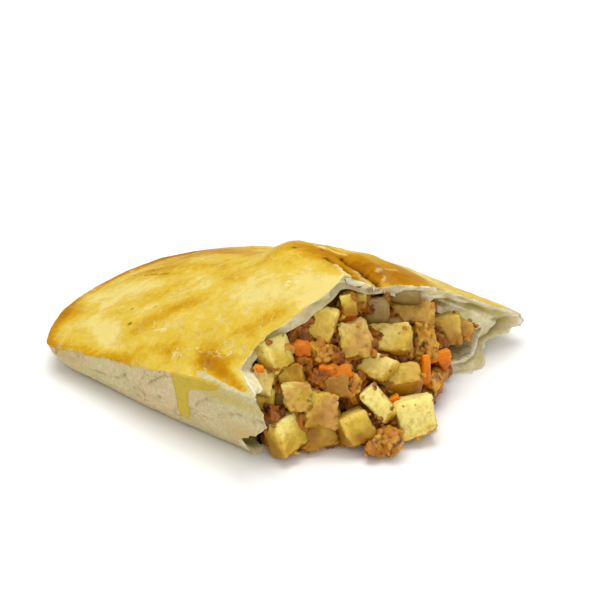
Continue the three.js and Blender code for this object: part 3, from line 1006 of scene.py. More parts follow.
# -------------------- the crust
class Side(Enum):
    """Which part of the crust a point belongs to."""

    OUTSIDE = 0
    TORN = 1
    INSIDE = 2


@dataclass(frozen=True)
class Mark:
    """A crack, a flake or a painted glint on the baked skin: a narrow strip seen from above.

    The path is x and y. It, the half width at the path's two ends and the rise are in millimetres.
    Dark and pale are shares of the colours for painted shade in a crack's bottom and for a flake or a
    painted glint.
    """

    path: Tuple[Tuple[float, float], ...]
    half_width: Tuple[float, float]
    rise: float
    dark: float = 0.0
    pale: float = 0.0


@dataclass(frozen=True)
class Blotch:
    """Where the oven browned the egg more, or less if the heat is negative.

    Its middle and its two radii are in millimetres, and its turn is in radians.
    """

    x: float
    y: float
    along: float
    across: float
    heat: float
    turn: float = 0.0


@dataclass
class Crust:
    """The folded dough: glazed outside, torn edge at the cut, and the hollow's wall."""

    seat: Seat
    side: int = 165
    end: int = 110
    rows: int = 110
    base_rows: int = 60
    hollow_side: int = 34
    hollow_end: int = 24
    torn_levels: int = 16
    marks: Tuple[Mark, ...] = (
        # Two cracks run down from the crest to the cut, with loose flakes between them
        Mark(((-13.6, 34.2), (-9.4, 33.4), (-4.8, 32.2), (-0.5, 30.2), (3.0, 28.0), (4.5, 27.2)),
             (0.6, 1.2), -1.6, dark=1.0),
        Mark(((-10.8, 36.7), (-4.8, 35.5), (0.7, 33.6), (2.5, 32.3), (4.5, 31.4)),
             (0.55, 0.9), -1.2, dark=1.0),
        Mark(((-10.5, 33.2), (-7.4, 31.9), (-4.7, 30.8), (-0.6, 28.9), (2.4, 26.8)),
             (0.6, 1.0), 0.35, pale=0.8),
        Mark(((-7.0, 34.6), (-3.5, 33.9), (0.0, 32.3), (1.6, 31.2)), (0.45, 0.5), 0.15, pale=0.35),
        Mark(((-19.5, 38.6), (-16.7, 39.1), (-12.8, 39.6)), (0.7, 0.6), 0.12, pale=0.7),
        Mark(((-18.0, 37.2), (-14.5, 37.2), (-11.0, 37.2)), (0.5, 0.5), -0.2, dark=0.5),
        # Painted highlights: glints on the gloss, drawn as pale streaks
        Mark(((-1.1, 38.0), (-2.6, 42.4)), (0.5, 0.45), 0.1, pale=0.4),
        Mark(((1.2, 35.6), (0.4, 39.2)), (0.5, 0.45), 0.1, pale=0.4),
        Mark(((-4.1, 45.7), (-4.5, 49.6)), (0.5, 0.45), 0.12, pale=0.35),
        # Two slits near the tip
        Mark(((-75.2, 24.0), (-71.7, 25.5), (-65.9, 25.5)), (0.5, 0.4), -0.7, dark=0.5),
        Mark(((-75.0, 25.3), (-71.5, 26.5), (-66.0, 26.5)), (0.5, 0.4), 0.3, pale=0.3),
        Mark(((-67.7, 22.2), (-62.6, 21.6), (-58.1, 21.5)), (0.45, 0.4), -0.6, dark=0.5),
    )
    blotches: Tuple[Blotch, ...] = (
        # Browned rings at the fold, beside the drip
        Blotch(-14.8, -5.6, 3.6, 2.0, 0.9, -0.1), Blotch(-8.7, -6.4, 4.2, 1.8, 0.9, -0.15),
        Blotch(-3.6, -8.2, 2.6, 1.4, 0.5, 0.0), Blotch(-11.0, -4.0, 8.0, 2.6, 0.4, -0.1),
        # The glossy amber side beyond the split
        Blotch(-1.0, 36.0, 9.0, 5.0, 0.85, 0.1), Blotch(-3.0, 42.0, 10.0, 5.0, 0.75, 0.1),
        Blotch(-12.0, 37.0, 9.0, 4.0, 0.8, 0.1), Blotch(-22.0, 35.0, 7.0, 3.5, 0.55, 0.0),
        Blotch(0.0, 47.0, 6.0, 4.0, 0.5, 0.0), Blotch(-9.0, 54.0, 14.0, 7.0, 0.6, 0.0),
        # Soft golden patches across the dome
        Blotch(-42.0, -2.0, 5.0, 3.5, 0.35, 0.6), Blotch(-38.5, 4.0, 5.0, 4.0, 0.4, 0.6),
        Blotch(-35.5, 9.0, 6.0, 3.5, 0.35, 0.6), Blotch(-5.3, 9.6, 4.0, 2.6, 0.5, 0.5),
        Blotch(-9.0, 4.5, 4.0, 2.4, 0.35, 0.4), Blotch(-26.0, 26.0, 7.0, 4.0, 0.3, 0.3),
        Blotch(-30.0, -6.0, 8.0, 2.5, 0.35, 0.0), Blotch(-48.0, 26.0, 8.0, 4.0, 0.35, 0.3),
        Blotch(-66.0, 25.0, 8.0, 5.0, 0.6, 0.1), Blotch(-70.0, 45.0, 12.0, 9.0, 0.7, 0.9),
        Blotch(-56.0, 42.0, 14.0, 5.0, 0.7, 0.3), Blotch(-40.0, 40.0, 12.0, 5.0, 0.45, 0.2),
        Blotch(-75.0, 3.0, 6.0, 5.0, 0.6, 0.0), Blotch(-2.0, 54.0, 8.0, 6.0, 0.55, 0.0),
        # Pale places
        Blotch(-64.0, 8.0, 7.0, 6.0, -0.2, 0.3), Blotch(-58.0, 15.0, 5.0, 4.0, -0.3, 0.0),
        Blotch(0.0, 18.0, 4.0, 9.0, -0.45, 0.0), Blotch(-1.0, -7.0, 3.0, 2.5, -0.4, 0.0),
        Blotch(-10.0, 17.0, 7.0, 6.0, -0.2, 0.0), Blotch(-58.0, -3.0, 8.0, 3.0, -0.3, 0.0),
        Blotch(-22.0, 14.0, 6.0, 7.0, -0.2, 0.0), Blotch(-52.0, -5.0, 4.0, 3.0, -0.2, 0.0),
    )
    # Burnt specks on the film: x, y and radius
    specks: Tuple[Tuple[float, float, float], ...] = (
        (-47.1, -1.6, 0.5), (-52.7, 4.1, 0.32), (-45.2, 5.4, 0.32), (-22.6, 32.2, 0.6),
    )
    # Where the film flakes: x, y, radius and strength
    flaking: Tuple[Tuple[float, float, float, float], ...] = (
        (-20.0, 8.0, 7.0, 0.16), (-19.0, -2.0, 5.0, 0.2), (-12.0, -3.0, 7.0, 0.2), (-8.0, 24.0, 8.0, 0.16),
        (-13.0, 14.0, 5.0, 0.12), (-40.0, 12.0, 5.0, 0.1), (2.0, 36.0, 4.0, 0.14), (-4.0, 8.0, 6.0, 0.1),
    )
    # Hairline cracks in the dry side: x and z of each corner, and half the width
    hairlines: Tuple[Tuple[Tuple[float, float], ...], ...] = (
        ((-53.0, 6.2), (-49.0, 7.6), (-46.0, 7.4), (-42.0, 8.2), (-38.0, 11.2)),
        ((-31.0, 10.6), (-28.3, 13.1), (-25.6, 15.2), (-23.4, 16.2)),
        ((-14.4, 11.4), (-13.4, 12.9), (-10.5, 15.2), (-9.0, 15.4)),
        ((-8.5, 11.7), (-4.9, 14.5), (-3.2, 14.3), (0.6, 17.4), (3.5, 17.0)),
        ((-66.5, 5.4), (-65.0, 7.6)),
        ((-36.0, 8.0), (-31.0, 7.4), (-27.0, 8.6)),
    )
    hairline_width: float = 0.45
    # The bare stripe over the fold: x, and its height and half width there, and the stain below it
    stripe_path: Table = ((-15.5, -10.4, -6.2, -1.5, 5.0), (2.4, 1.1, -0.1, -0.9, -1.2))
    stripe_width: Table = ((-16.0, -10.0, 0.0), (0.45, 0.8, 1.1))
    stain_share: Table = ((-16.0, -8.0, 0.0, 4.0), (0.0, 0.8, 0.45, 0.0))
    # The egg that ran down the side: z, and x of its left and of its right edge there
    run_left: Table = (
        (5.6, 6.2, 7.2, 9.0, 12.0, 16.0, 19.5),
        (-19.8, -20.9, -21.1, -20.9, -20.9, -21.3, -22.6),
    )
    run_right: Table = (
        (5.6, 6.2, 7.2, 9.0, 12.5, 15.0, 16.0, 16.2, 17.0, 17.8, 18.6, 20.0),
        (-18.6, -17.5, -17.1, -16.8, -16.6, -15.9, -14.5, -13.0, -9.5, -7.0, -5.5, -4.5),
    )
    run_foot: float = 5.4
    # How far the inner skin lies behind the outer one: direction in degrees, and millimetres
    slant_at: Tuple[float, ...] = (-22.0, -8.0, 2.0, 14.5, 17.0, 21.0, 34.0, 52.0, 66.0, 90.0, 96.0, 130.0,
                                   145.0, 159.0, 166.0, 170.0, 180.0)
    slant: Tuple[float, ...] = (1.5, 1.5, 5.0, 5.0, 3.4, 2.0, 1.8, 0.5, 1.2, 1.2, 2.3, 2.2,
                                3.5, 4.5, 6.5, 6.0, 2.0)
    # Ridges in the torn face: middle radius of the wall round the cut, and the ridges' length
    wall_radius: float = 34.0
    ridge_length: float = 3.6
    # Relief: spacing and height of the swells and wrinkles, height of the film's edge and of the run
    swell_spacing: float = 8.0
    swell_height: float = 0.4
    wrinkle_spacing: float = 7.0
    wrinkle_height: float = 0.14
    dry_spacing: float = 6.0
    dry_height: float = 0.5
    ledge_height: float = 0.7
    run_height: float = 0.22

    def build(self) -> bpy.types.Object:
        """Makes the closed shell, then its relief and the values that its finish reads.

        Returns:
            The shell.
        """
        outside = PLAN.sheets(OUTSIDE, self.side, self.end, self.rows, self.base_rows)
        hollow = PLAN.sheets(HOLLOW, self.hollow_side, self.hollow_end, self.rows, self.base_rows)
        parts = [self.skin(outside, Side.OUTSIDE), self.skin(hollow, Side.INSIDE),
                 self.torn_edge(outside, hollow)]
        shell = Surface.joined(parts).to_object("crust_shell", self.seat)
        self.carve(shell)
        return shell

    def skin(self, sheets: Sheets, side: Side) -> Surface:
        """Upper and lower surface of a layer, with each point's distance over or under the outline.

        Args:
            sheets: the layer's two surfaces.
            side: outside, or the hollow's wall.

        Returns:
            Both as one surface, open in the cut.
        """
        inside = side is Side.INSIDE
        top = Surface.from_grid(sheets.top, flip=inside)
        base = Surface.from_grid(sheets.base, flip=not inside)
        for part, grid, sign in ((top, sheets.top, 1.0), (base, sheets.base, -1.0)):
            steps = np.linalg.norm(np.diff(grid, axis=1), axis=-1)
            run = np.cumsum(steps[:, ::-1], axis=1)[:, ::-1]
            over = np.concatenate([run, np.zeros((len(grid), 1))], 1)
            part.values["over"] = (sign * over).reshape(-1)
            part.values["seam"] = np.repeat(sheets.on_seam, grid.shape[1])
            part.values["side"] = np.full(grid.shape[0] * grid.shape[1], float(side.value))
        return Surface.joined([top, base])

    @staticmethod
    def ring(sheets: Sheets) -> Array:
        """The layer's edge in the cut: seam top, fold top, fold base and seam base, joined."""
        top, base = sheets.top, sheets.base
        return np.concatenate([top[-1, ::-1], top[0, 1:], base[0, ::-1][1:], base[-1, 1:-1]])

    def torn_edge(self, outside: Sheets, hollow: Sheets) -> Surface:
        """The torn face between the outside and the hollow: straight lines across the dough.

        Args:
            outside: the outside's surfaces.
            hollow: the hollow's surfaces.

        Returns:
            The face, with 0 to 1 across the dough as a value.
        """
        share = np.linspace(0.0, 1.0, self.torn_levels + 1)[:, None, None]
        face = mix(self.ring(outside)[None], self.ring(hollow)[None], share)
        made = Surface.from_grid(face, flip=True, wrap=True)
        depth = np.broadcast_to(share[..., 0], face.shape[:2])
        made.values["across"] = np.array(depth).reshape(-1)
        made.values["side"] = np.full(face.shape[0] * face.shape[1], float(Side.TORN.value))
        return made

    def mark_relief(self, points: Array, skin: Array) -> Tuple[Array, Array, Array]:
        """Height, darkness and paleness of the marks.

        Each strip's strength is (1 - d / half width + jags) / 0.45 between 0 and 1, d being the
        distance to its path. The places are bent by noise first, so that the strips wander.

        Args:
            points: the crust's points.
            skin: true on the outside.

        Returns:
            Millimetres of height, darkness and paleness for each point.
        """
        x, y, z = points.T
        flat = np.stack([x, y, np.zeros_like(x)], -1)
        bent_x = x + 0.7 * fractal(flat, 4.0, 2, 3) + 0.2 * noise(flat, 1.6, 5)
        bent_y = y + 0.7 * fractal(flat, 4.0, 2, 4) + 0.2 * noise(flat, 1.6, 6)
        jags = fractal(flat, 2.2, 2, 7)
        height, dark, pale = np.zeros_like(x), np.zeros_like(x), np.zeros_like(x)
        for mark in self.marks:
            distance, share = path_distance(bent_x, bent_y, mark.path)
            width = mix(*mark.half_width, share)
            strip = np.clip((1.0 - distance / width + 0.4 * jags) / 0.45, 0.0, 1.0) * skin * (z > 8.0)
            height += mark.rise * strip * smooth(share * 5.0 + 0.3)
            dark += mark.dark * strip
            pale += mark.pale * strip
        return height, dark, pale

    def overhang(self, y: Array, z: Array) -> Array:
        """How far the inner skin lies behind the outer one, because the dough tore on a slant."""
        return np.interp(PLAN.direction(y, z), self.slant_at, self.slant)

    def torn_relief(self, points: Array, torn: Array, across: Array, inner: Array) -> Tuple[Array, Array]:
        """How far the torn face and the edges beside it move along x, and how deep its pockets are.

        The long waves of the tear reach far back, the fine frays only a little. On the face, ridges
        follow the wall: noise squeezed across the dough and stretched along it.

        Args:
            points: the crust's points.
            torn: true on the torn face.
            across: 0 at its outer and 1 at its inner edge.
            inner: true on the hollow's wall.

        Returns:
            Millimetres along x, and the pockets' depth, for each point.
        """
        x, y, z = points.T
        behind = np.clip(PLAN.cut(y) - x, 0.0, None)
        flat = np.stack([np.zeros_like(x), y, z], -1)
        share = np.where(torn, across, np.where(inner, 1.0, 0.0))
        edge_only = np.where(torn, np.clip(1.0 - 4.0 * across, 0, 1),
                             np.clip(1.0 - behind / 1.6, 0, 1) ** 2)
        ragged = mix(0.4, 1.5, smooth((2.0 - y) / 6.0) + smooth((y - 34.0) / 8.0))
        frays = (0.9 * fractal(flat, 2.4, 3, 5) + 0.6 * noise(flat, 0.8, 9)) * edge_only * (1.0 - inner)
        slant = self.overhang(y, z) * (1.0 - (1.0 - share) ** 1.5)
        shift = (PLAN.tear(y, z) - slant) * np.clip(1.0 - behind / PLAN.cut_relief, 0.0, 1.0) ** 2
        shift = shift + ragged * frays
        middle = np.where(torn, np.sin(np.pi * np.clip(across, 0, 1)), 0.0)
        thick = smooth((y - 46.0) / 14.0)
        winding = np.arctan2(z - PLAN.hub_z, y - PLAN.hub_y) * self.wall_radius
        layered = np.stack([across * mix(2.4, 7.5, thick), winding / self.ridge_length,
                            np.zeros_like(x)], -1)
        ridges = fractal(layered, 1.0, 3, 17)
        holes = np.clip(noise(layered, 1.0, 23) - 0.1, 0.0, 1.0)
        pockets = holes * middle * mix(0.2, 0.5, thick)
        heel = hump((y + 4.0) / 8.0) * hump((z - 3.2) / 4.2) * smooth((share - 0.3) / 0.25)
        pockets = pockets + 0.6 * heel * torn
        fine = 1.1 * fractal(points, 2.0, 4, 29) * middle
        shift += torn * (mix(0.6, 1.2, thick) * ridges * middle - 7.0 * pockets - 0.5 * middle + fine)
        return shift, pockets

    def carve(self, shell: bpy.types.Object) -> None:
        """Tears the edge, raises flakes and creases, and records what the finish reads.

        Args:
            shell: the crust.
        """
        points, normals = points_of(shell, self.seat)
        x, y, z = points.T
        over, on_seam = value_of(shell, "over"), value_of(shell, "seam")
        kind, across = value_of(shell, "side"), value_of(shell, "across")
        torn, skin = (kind > 0.5) & (kind < 1.5), kind < 0.5
        shift, pockets = self.torn_relief(points, torn, across, kind > 1.5)
        moved = points.copy()
        moved[:, 0] += shift
        height, dark, pale = self.mark_relief(points, skin)
        top = skin & (over > 0)
        wrinkle = crease(points, self.wrinkle_spacing, 0.06, 21) * smooth((over - 2.0) / 4.0)
        swell = self.swell_height * fractal(points, self.swell_spacing, 3, 41)
        rise = swell + self.wrinkle_height * wrinkle + height
        crack = self.side_cracks(points) * skin
        below = self.dry_height * fractal(points, self.dry_spacing, 4, 43) - 0.4 * crack
        # The film's edge stands over the bare side, most at the tip
        ledge = smooth((-x - 46.0) / 22.0) * (1.0 - on_seam)
        rise += ledge * self.ledge_height * bell((over - 0.8) / 1.6)
        below -= ledge * self.ledge_height * bell((over + 1.2) / 1.4)
        # Egg that ran down lies in a low bead
        drip = self.drip(points, over, on_seam)
        below += self.run_height * shoulder(np.clip(drip, 0, None), 0.9)
        lift = np.where(top, rise, below) * skin * np.clip(z / 1.5, 0.0, 1.0)
        moved += normals * (lift * (1.0 - torn))[:, None]
        moved[:, 2] = np.maximum(moved[:, 2], 0.0)
        set_points(shell, moved, self.seat)
        set_value(shell, "drip", drip)
        # Painted shade in the cracks' bottoms, then pale flakes and painted glints
        set_value(shell, "crack_shade", np.clip(dark, 0, 1))
        set_value(shell, "flake_and_glint", np.clip(pale, 0, 1) * np.clip(1.0 - dark, 0, 1))
        set_value(shell, "crack", np.clip(crack, 0, 1) * 0.8)
        # Painted shade in the torn face's pockets and in the heel's hollow
        set_value(shell, "pocket_shade", np.clip(pockets * 4.0, 0, 1))
        streak = 0.4 + 0.6 * smooth(noise(points, 2.2, 51) + 0.5)
        # Painted shade: the wall over the filling lies in its own shade, so its inner part is painted
        # darker
        angle = PLAN.direction(y, z)
        shaded = smooth((angle - 24.0) / 14.0) * smooth((138.0 - angle) / 20.0)
        inner_line = bell((across - 1.0) / 0.1) * (1.0 - shaded)
        set_value(shell, "rim", torn * streak * np.clip(inner_line + bell(across / 0.07), 0, 1))
        # A gravy stain on the seam's low lip, in the same olive colour
        lip = 0.3 * smooth((y - 46.0) / 6.0) * smooth((9.0 - z) / 3.0)
        shade_and_lip_stain = np.maximum(0.45 * shaded * smooth((across - 0.25) / 0.4), lip)
        set_value(shell, "under", torn * shade_and_lip_stain * mix(0.6, 1.0, streak))
        self.colour_fields(shell, points, over, on_seam, skin, kind > 1.5, across)

    def side_cracks(self, points: Array) -> Array:
        """Hairline cracks in the dry side: wandering paths, seen square to the side.

        Args:
            points: the crust's points.

        Returns:
            0 to 1 for each point.
        """
        x, y, z = points.T
        bent = fractal(points, 2.4, 3, 61)
        total = np.zeros_like(x)
        for path in self.hairlines:
            distance, _ = path_distance(x + bent, z + 0.7 * bent, path)
            total = np.maximum(total, np.clip(1.0 - distance / self.hairline_width, 0.0, 1.0))
        broken = smooth((noise(points, 1.7, 63) + 0.25) / 0.4)
        return total * (y < 0) * (z > 1.5) * (0.35 + 0.65 * broken)

    def drip(self, points: Array, over: Array, on_seam: Array) -> Array:
        """How far inside the egg's run a point is: between a left and a right edge for each height.

        Args:
            points: the crust's points.
            over: distance from the outline, positive above it.
            on_seam: 0 on the folded side and 1 on the seam.

        Returns:
            Millimetres inside, negative outside.
        """
        x, y, z = points.T
        left, right = np.interp(z, *self.run_left), np.interp(z, *self.run_right)
        inside = np.minimum(np.minimum(x - left, right - x), (z - self.run_foot) * 1.5) * 0.9
        fading = 2.8 * smooth((x + 16.0) / 7.0)
        return np.where((over < 0.6) & (on_seam < 0.5) & (y < 0), inside - fading, -3.0)

    def browning(self, points: Array, over: Array, on_seam: Array) -> Array:
        """How far the egg browned: blotches, the raised rim, and the film's edge at the fold.

        Args:
            points: the crust's points.
            over: distance from the outline, positive above it.
            on_seam: 0 on the folded side and 1 on the seam.

        Returns:
            0 for pale to about 1 for toasted.
        """
        x, y, _ = points.T
        brown = np.full_like(x, 0.04)
        for spot in self.blotches:
            u = (x - spot.x) * math.cos(spot.turn) + (y - spot.y) * math.sin(spot.turn)
            v = (y - spot.y) * math.cos(spot.turn) - (x - spot.x) * math.sin(spot.turn)
            brown += spot.heat * bell(np.hypot(u / spot.along, v / spot.across))
        fold = 1.0 - on_seam
        rim = bell(np.clip(over, 0, None) / 2.6)
        near = smooth((-x - 30.0) / 12.0) * (1.0 - 0.45 * bell((x + 58.0) / 6.0))
        from_cut = np.where(on_seam > 0.5, smooth((-x - 8.0) / 20.0), 1.0)
        brown += rim * mix(0.95, 0.75 * near, fold) * from_cut
        return brown

    def colour_fields(self, shell: bpy.types.Object, points: Array, over: Array, on_seam: Array,
                      skin: Array, inner: Array, across: Array) -> None:
        """Records where the egg, the browning, the stains and the dough full of gravy are.

        Args:
            shell: the crust.
            points: its points before they were carved.
            over: distance from the outline, positive above it.
            on_seam: 0 on the folded side and 1 on the seam.
            skin: true on the outside.
            inner: true on the hollow's wall.
            across: 0 at the outer and 1 at the inner edge of the torn face.
        """
        x, y, z = points.T
        fold = on_seam < 0.5
        # A bare stripe splits the film just over the fold, and a thin stain runs below it
        stripe_at = np.interp(x, *self.stripe_path)
        stripe = bell((over - stripe_at) / np.interp(x, *self.stripe_width))
        stripe *= smooth((x + 16.0) / 2.0) * fold
        fading = np.interp(x, *self.stain_share)
        stain = smooth((over + 4.6) / 1.6) * (over < stripe_at) * (y < 0) * fold * fading
        # No film close to the cut at the fold, nor on the lip at the seam
        behind = PLAN.cut(y) - x
        glaze = np.where(fold, over, over + 0.8) - 7.0 * stripe
        glaze -= 9.0 * fold * smooth((3.2 - behind - 0.6 * np.clip(over, 0, None)) / 0.9)
        glaze -= 9.0 * smooth((y - 66.0) / 5.0) * smooth((6.0 - behind) / 4.0)
        tan = 0.55 * bell(np.hypot((x + 2.0) / 4.5, (z - 9.0) / 3.2)) * (y < 0)
        tan += 0.3 * bell(np.hypot((x + 60.0) / 9.0, (z - 7.0) / 3.0)) * (y < 0)
        speck = np.zeros_like(x)
        for at_x, at_y, radius in self.specks:
            speck += bell(np.hypot(x - at_x, y - at_y) / radius) * (over > 0)
        flaky = np.zeros_like(x)
        for at_x, at_y, radius, strength in self.flaking:
            flaky += strength * bell(np.hypot(x - at_x, y - at_y) / radius)
        # Gravy soaks into the hollow's wall, least at its mouth, and into the inner edge of the torn face
        wall = 1.15 - 0.75 * smooth((x + 9.0) / 11.0) - 0.1 * smooth((y - 62.0) / 8.0)
        soak_and_shade = np.where(inner, wall, 0.5 * smooth((across - 0.72) / 0.28) - 0.4)
        set_value(shell, "glaze", np.where(skin, glaze, -5.0))
        set_value(shell, "brown", self.browning(points, over, on_seam))
        set_value(shell, "stain", np.clip(0.75 * stain * (1.0 - stripe), 0, 1))
        set_value(shell, "tan", np.clip(tan, 0, 1))
        set_value(shell, "speck", np.clip(speck, 0, 1))
        set_value(shell, "flaky", flaky - 0.03)
        set_value(shell, "wet", soak_and_shade)

    def dress(self, shell: bpy.types.Object) -> None:
        """Glazed pastry outside, torn dough on the edge and the hollow's wall.

        Args:
            shell: the crust.
        """
        mesh = shell.data
        # The crazed film throws back little light at a low angle, where a smooth one would look grey
        mesh.materials.append(GlazedPastry("egg_glazed_shortcrust", ior=1.3, gloss=0.01).make())
        mesh.materials.append(TornDough("torn_steamed_dough", roughness=0.6, soft_share=0.25,
                                        soft_depth=1.2).make())
        kind = value_of(shell, "side")
        corners = np.empty(len(mesh.loops), np.int32)
        mesh.loops.foreach_get("vertex_index", corners)
        starts = np.empty(len(mesh.polygons), np.int32)
        mesh.polygons.foreach_get("loop_start", starts)
        slot = (np.maximum.reduceat(kind[corners], starts) > 0.5).astype(np.int32)
        mesh.polygons.foreach_set("material_index", slot)
        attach(shell, "root")
        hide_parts("crust")


# -------------------- the filling
@dataclass(frozen=True)
class Bit:
    """One piece of the filling that shows.

    Its centre and its size are millimetres, its turns are degrees about z, y and x, and its tint
    runs from 0, the flesh's light colour, to 1, full of gravy; for pieces deep in the hollow it is partly
    painted shade. A rough piece is crushed.
    """

    at: Tuple[float, float, float]
    size: Tuple[float, float, float]
    turns: Tuple[float, float, float] = (0.0, 0.0, 0.0)
    tint: float = 0.5
    rough: float = 0.0


@dataclass(frozen=True)
class Slope:
    """The spill's slope, from under the crust's edge down to the floor."""

    foot_y: Tuple[float, ...] = (-4.0, 1.0, 8.0, 13.0, 16.5, 20.0, 36.0, 42.0, 49.0, 56.0)
    foot_x: Tuple[float, ...] = (1.0, 2.0, 4.6, 7.4, 13.0, 17.4, 18.2, 14.5, 9.0, 4.0)
    behind: float = 4.0
    tapers_from: float = 50.0
    ends: float = 62.0

    def reach(self, y: Array) -> Array:
        """How far the spill runs out over the floor, read off its foot."""
        return np.interp(y, self.foot_y, self.foot_x)

    def ceiling(self, y: Array) -> Array:
        """Height of the hollow at the cut, rounded off at the fold."""
        depth = y - PLAN.fold(np.zeros_like(y)) - HOLLOW.fold_inset
        return PLAN.dome(np.zeros_like(y), y, HOLLOW) * shoulder(depth, 19.0, PLAN.shoulder_power)

    def at(self, y: Array, fall: Array) -> Array:
        """Points of the slope: x grows as fall^1.2 and z shrinks as (1 - fall)^0.95.

        Args:
            y: towards the seam.
            fall: 0 under the crust's edge to 1 on the floor.

        Returns:
            Points, shape (..., 3).
        """
        y, fall = np.broadcast_arrays(np.asarray(y, float), np.asarray(fall, float))
        x = PLAN.cut(y) - self.behind + (self.reach(y) + self.behind) * fall ** 1.2
        taper = hump(np.clip((y - self.tapers_from) / (self.ends - self.tapers_from), 0, 1)) ** 0.5
        return np.stack([x, y, (self.ceiling(y) - 1.6) * taper * (1.0 - fall) ** 0.95], -1)


SLOPE = Slope()


def grains(points: Array, size: float, seed: int) -> Array:
    """A heap of rounded grains: 1 on a grain's top and 0 in the gaps between grains.

    Every cell of a lattice holds one grain, off its middle at random. A point takes the highest of
    the grains around it, each a parabola 1 - (distance / 0.85)^2 in cells.

    Args:
        points: shape (..., 3), in millimetres.
        size: lattice spacing.
        seed: which grains.

    Returns:
        One number for each point.
    """
    q = points / size
    base = np.floor(q)
    best = np.zeros(points.shape[:-1])
    for corner in np.ndindex(3, 3, 3):
        cell = base + np.array(corner) - 1.0
        drift = np.stack([cell_random(cell, seed + k) for k in range(3)], -1)
        centre = cell + 0.5 + 0.8 * (drift - 0.5)
        best = np.maximum(best, 1.0 - ((q - centre) ** 2).sum(-1) / 0.72)
    return best


def turned(points: Array, turns: Array) -> Array:
    """Turns each piece's points about x, then y, then z.

    Args:
        points: shape (pieces, ..., 3).
        turns: degrees about z, y and x, shape (pieces, 3).

    Returns:
        The turned points, in the same shape.
    """
    matrices = np.array([Euler((math.radians(c), math.radians(b), math.radians(a)), "XYZ").to_matrix()
                         for a, b, c in turns])
    return np.einsum("kij,k...j->k...i", matrices, points)


def blocks(count: int, steps: int, rounding: float, rng: np.random.Generator,
           warp: float) -> Tuple[Array, Array]:
    """Knife-cut blocks of unit size.

    Each of a cube's six faces is a grid. A point is pulled in to a smaller box and pushed out
    again by the rounding radius, which rounds edges and corners. Then the eight corners drift at
    random and carry the points between them.

    Args:
        count: how many blocks.
        steps: quads along each edge.
        rounding: corner radius as a share of half the edge.
        rng: random numbers.
        warp: how far the corners drift.

    Returns:
        Points of shape (count, 6, steps + 1, steps + 1, 3), and for a point of one block how near
        it is to an edge, 0 to 1.
    """
    line = np.linspace(-1, 1, steps + 1)
    line = np.sign(line) * (1 - (1 - np.abs(line)) ** 1.25)
    u, v = np.meshgrid(line, line, indexing="ij")
    one = np.ones_like(u)
    faces = np.stack([np.stack(face, -1) for face in (
        (one, u, v), (-one, v, u), (v, one, u), (u, -one, v), (u, v, one), (v, u, -one))])
    core = np.clip(faces, -(1 - rounding), 1 - rounding)
    away = faces - core
    away /= np.maximum(np.linalg.norm(away, axis=-1, keepdims=True), 1e-9)
    cube = core + rounding * away
    drift = rng.uniform(-warp, warp, (count, 2, 2, 2, 3))
    t = (cube + 1) / 2
    made = np.broadcast_to(cube, (count,) + cube.shape).copy()
    for i, j, k in np.ndindex(2, 2, 2):
        weight = (np.where(i, t[..., 0], 1 - t[..., 0]) * np.where(j, t[..., 1], 1 - t[..., 1])
                  * np.where(k, t[..., 2], 1 - t[..., 2]))
        made += weight[None, ..., None] * drift[:, i, j, k][:, None, None, None]
    second = np.sort(np.abs(faces), axis=-1)[..., 1]
    return made / 2.0, smooth((second - 0.6) / 0.4)


def balls(count: int, rows: int, columns: int) -> Array:
    """Unit balls on grids of latitude and longitude.

    Args:
        count: how many balls.
        rows: quads from pole to pole.
        columns: quads round each ball.

    Returns:
        Points, shape (count, rows + 1, columns, 3).
    """
    polar = np.linspace(0, math.pi, rows + 1)[:, None]
    around = np.linspace(0, 2 * math.pi, columns, endpoint=False)[None]
    ball = np.stack([np.sin(polar) * np.cos(around), np.sin(polar) * np.sin(around),
                     np.cos(polar) * np.ones_like(around)], -1)
    return np.broadcast_to(ball, (count,) + ball.shape).copy()


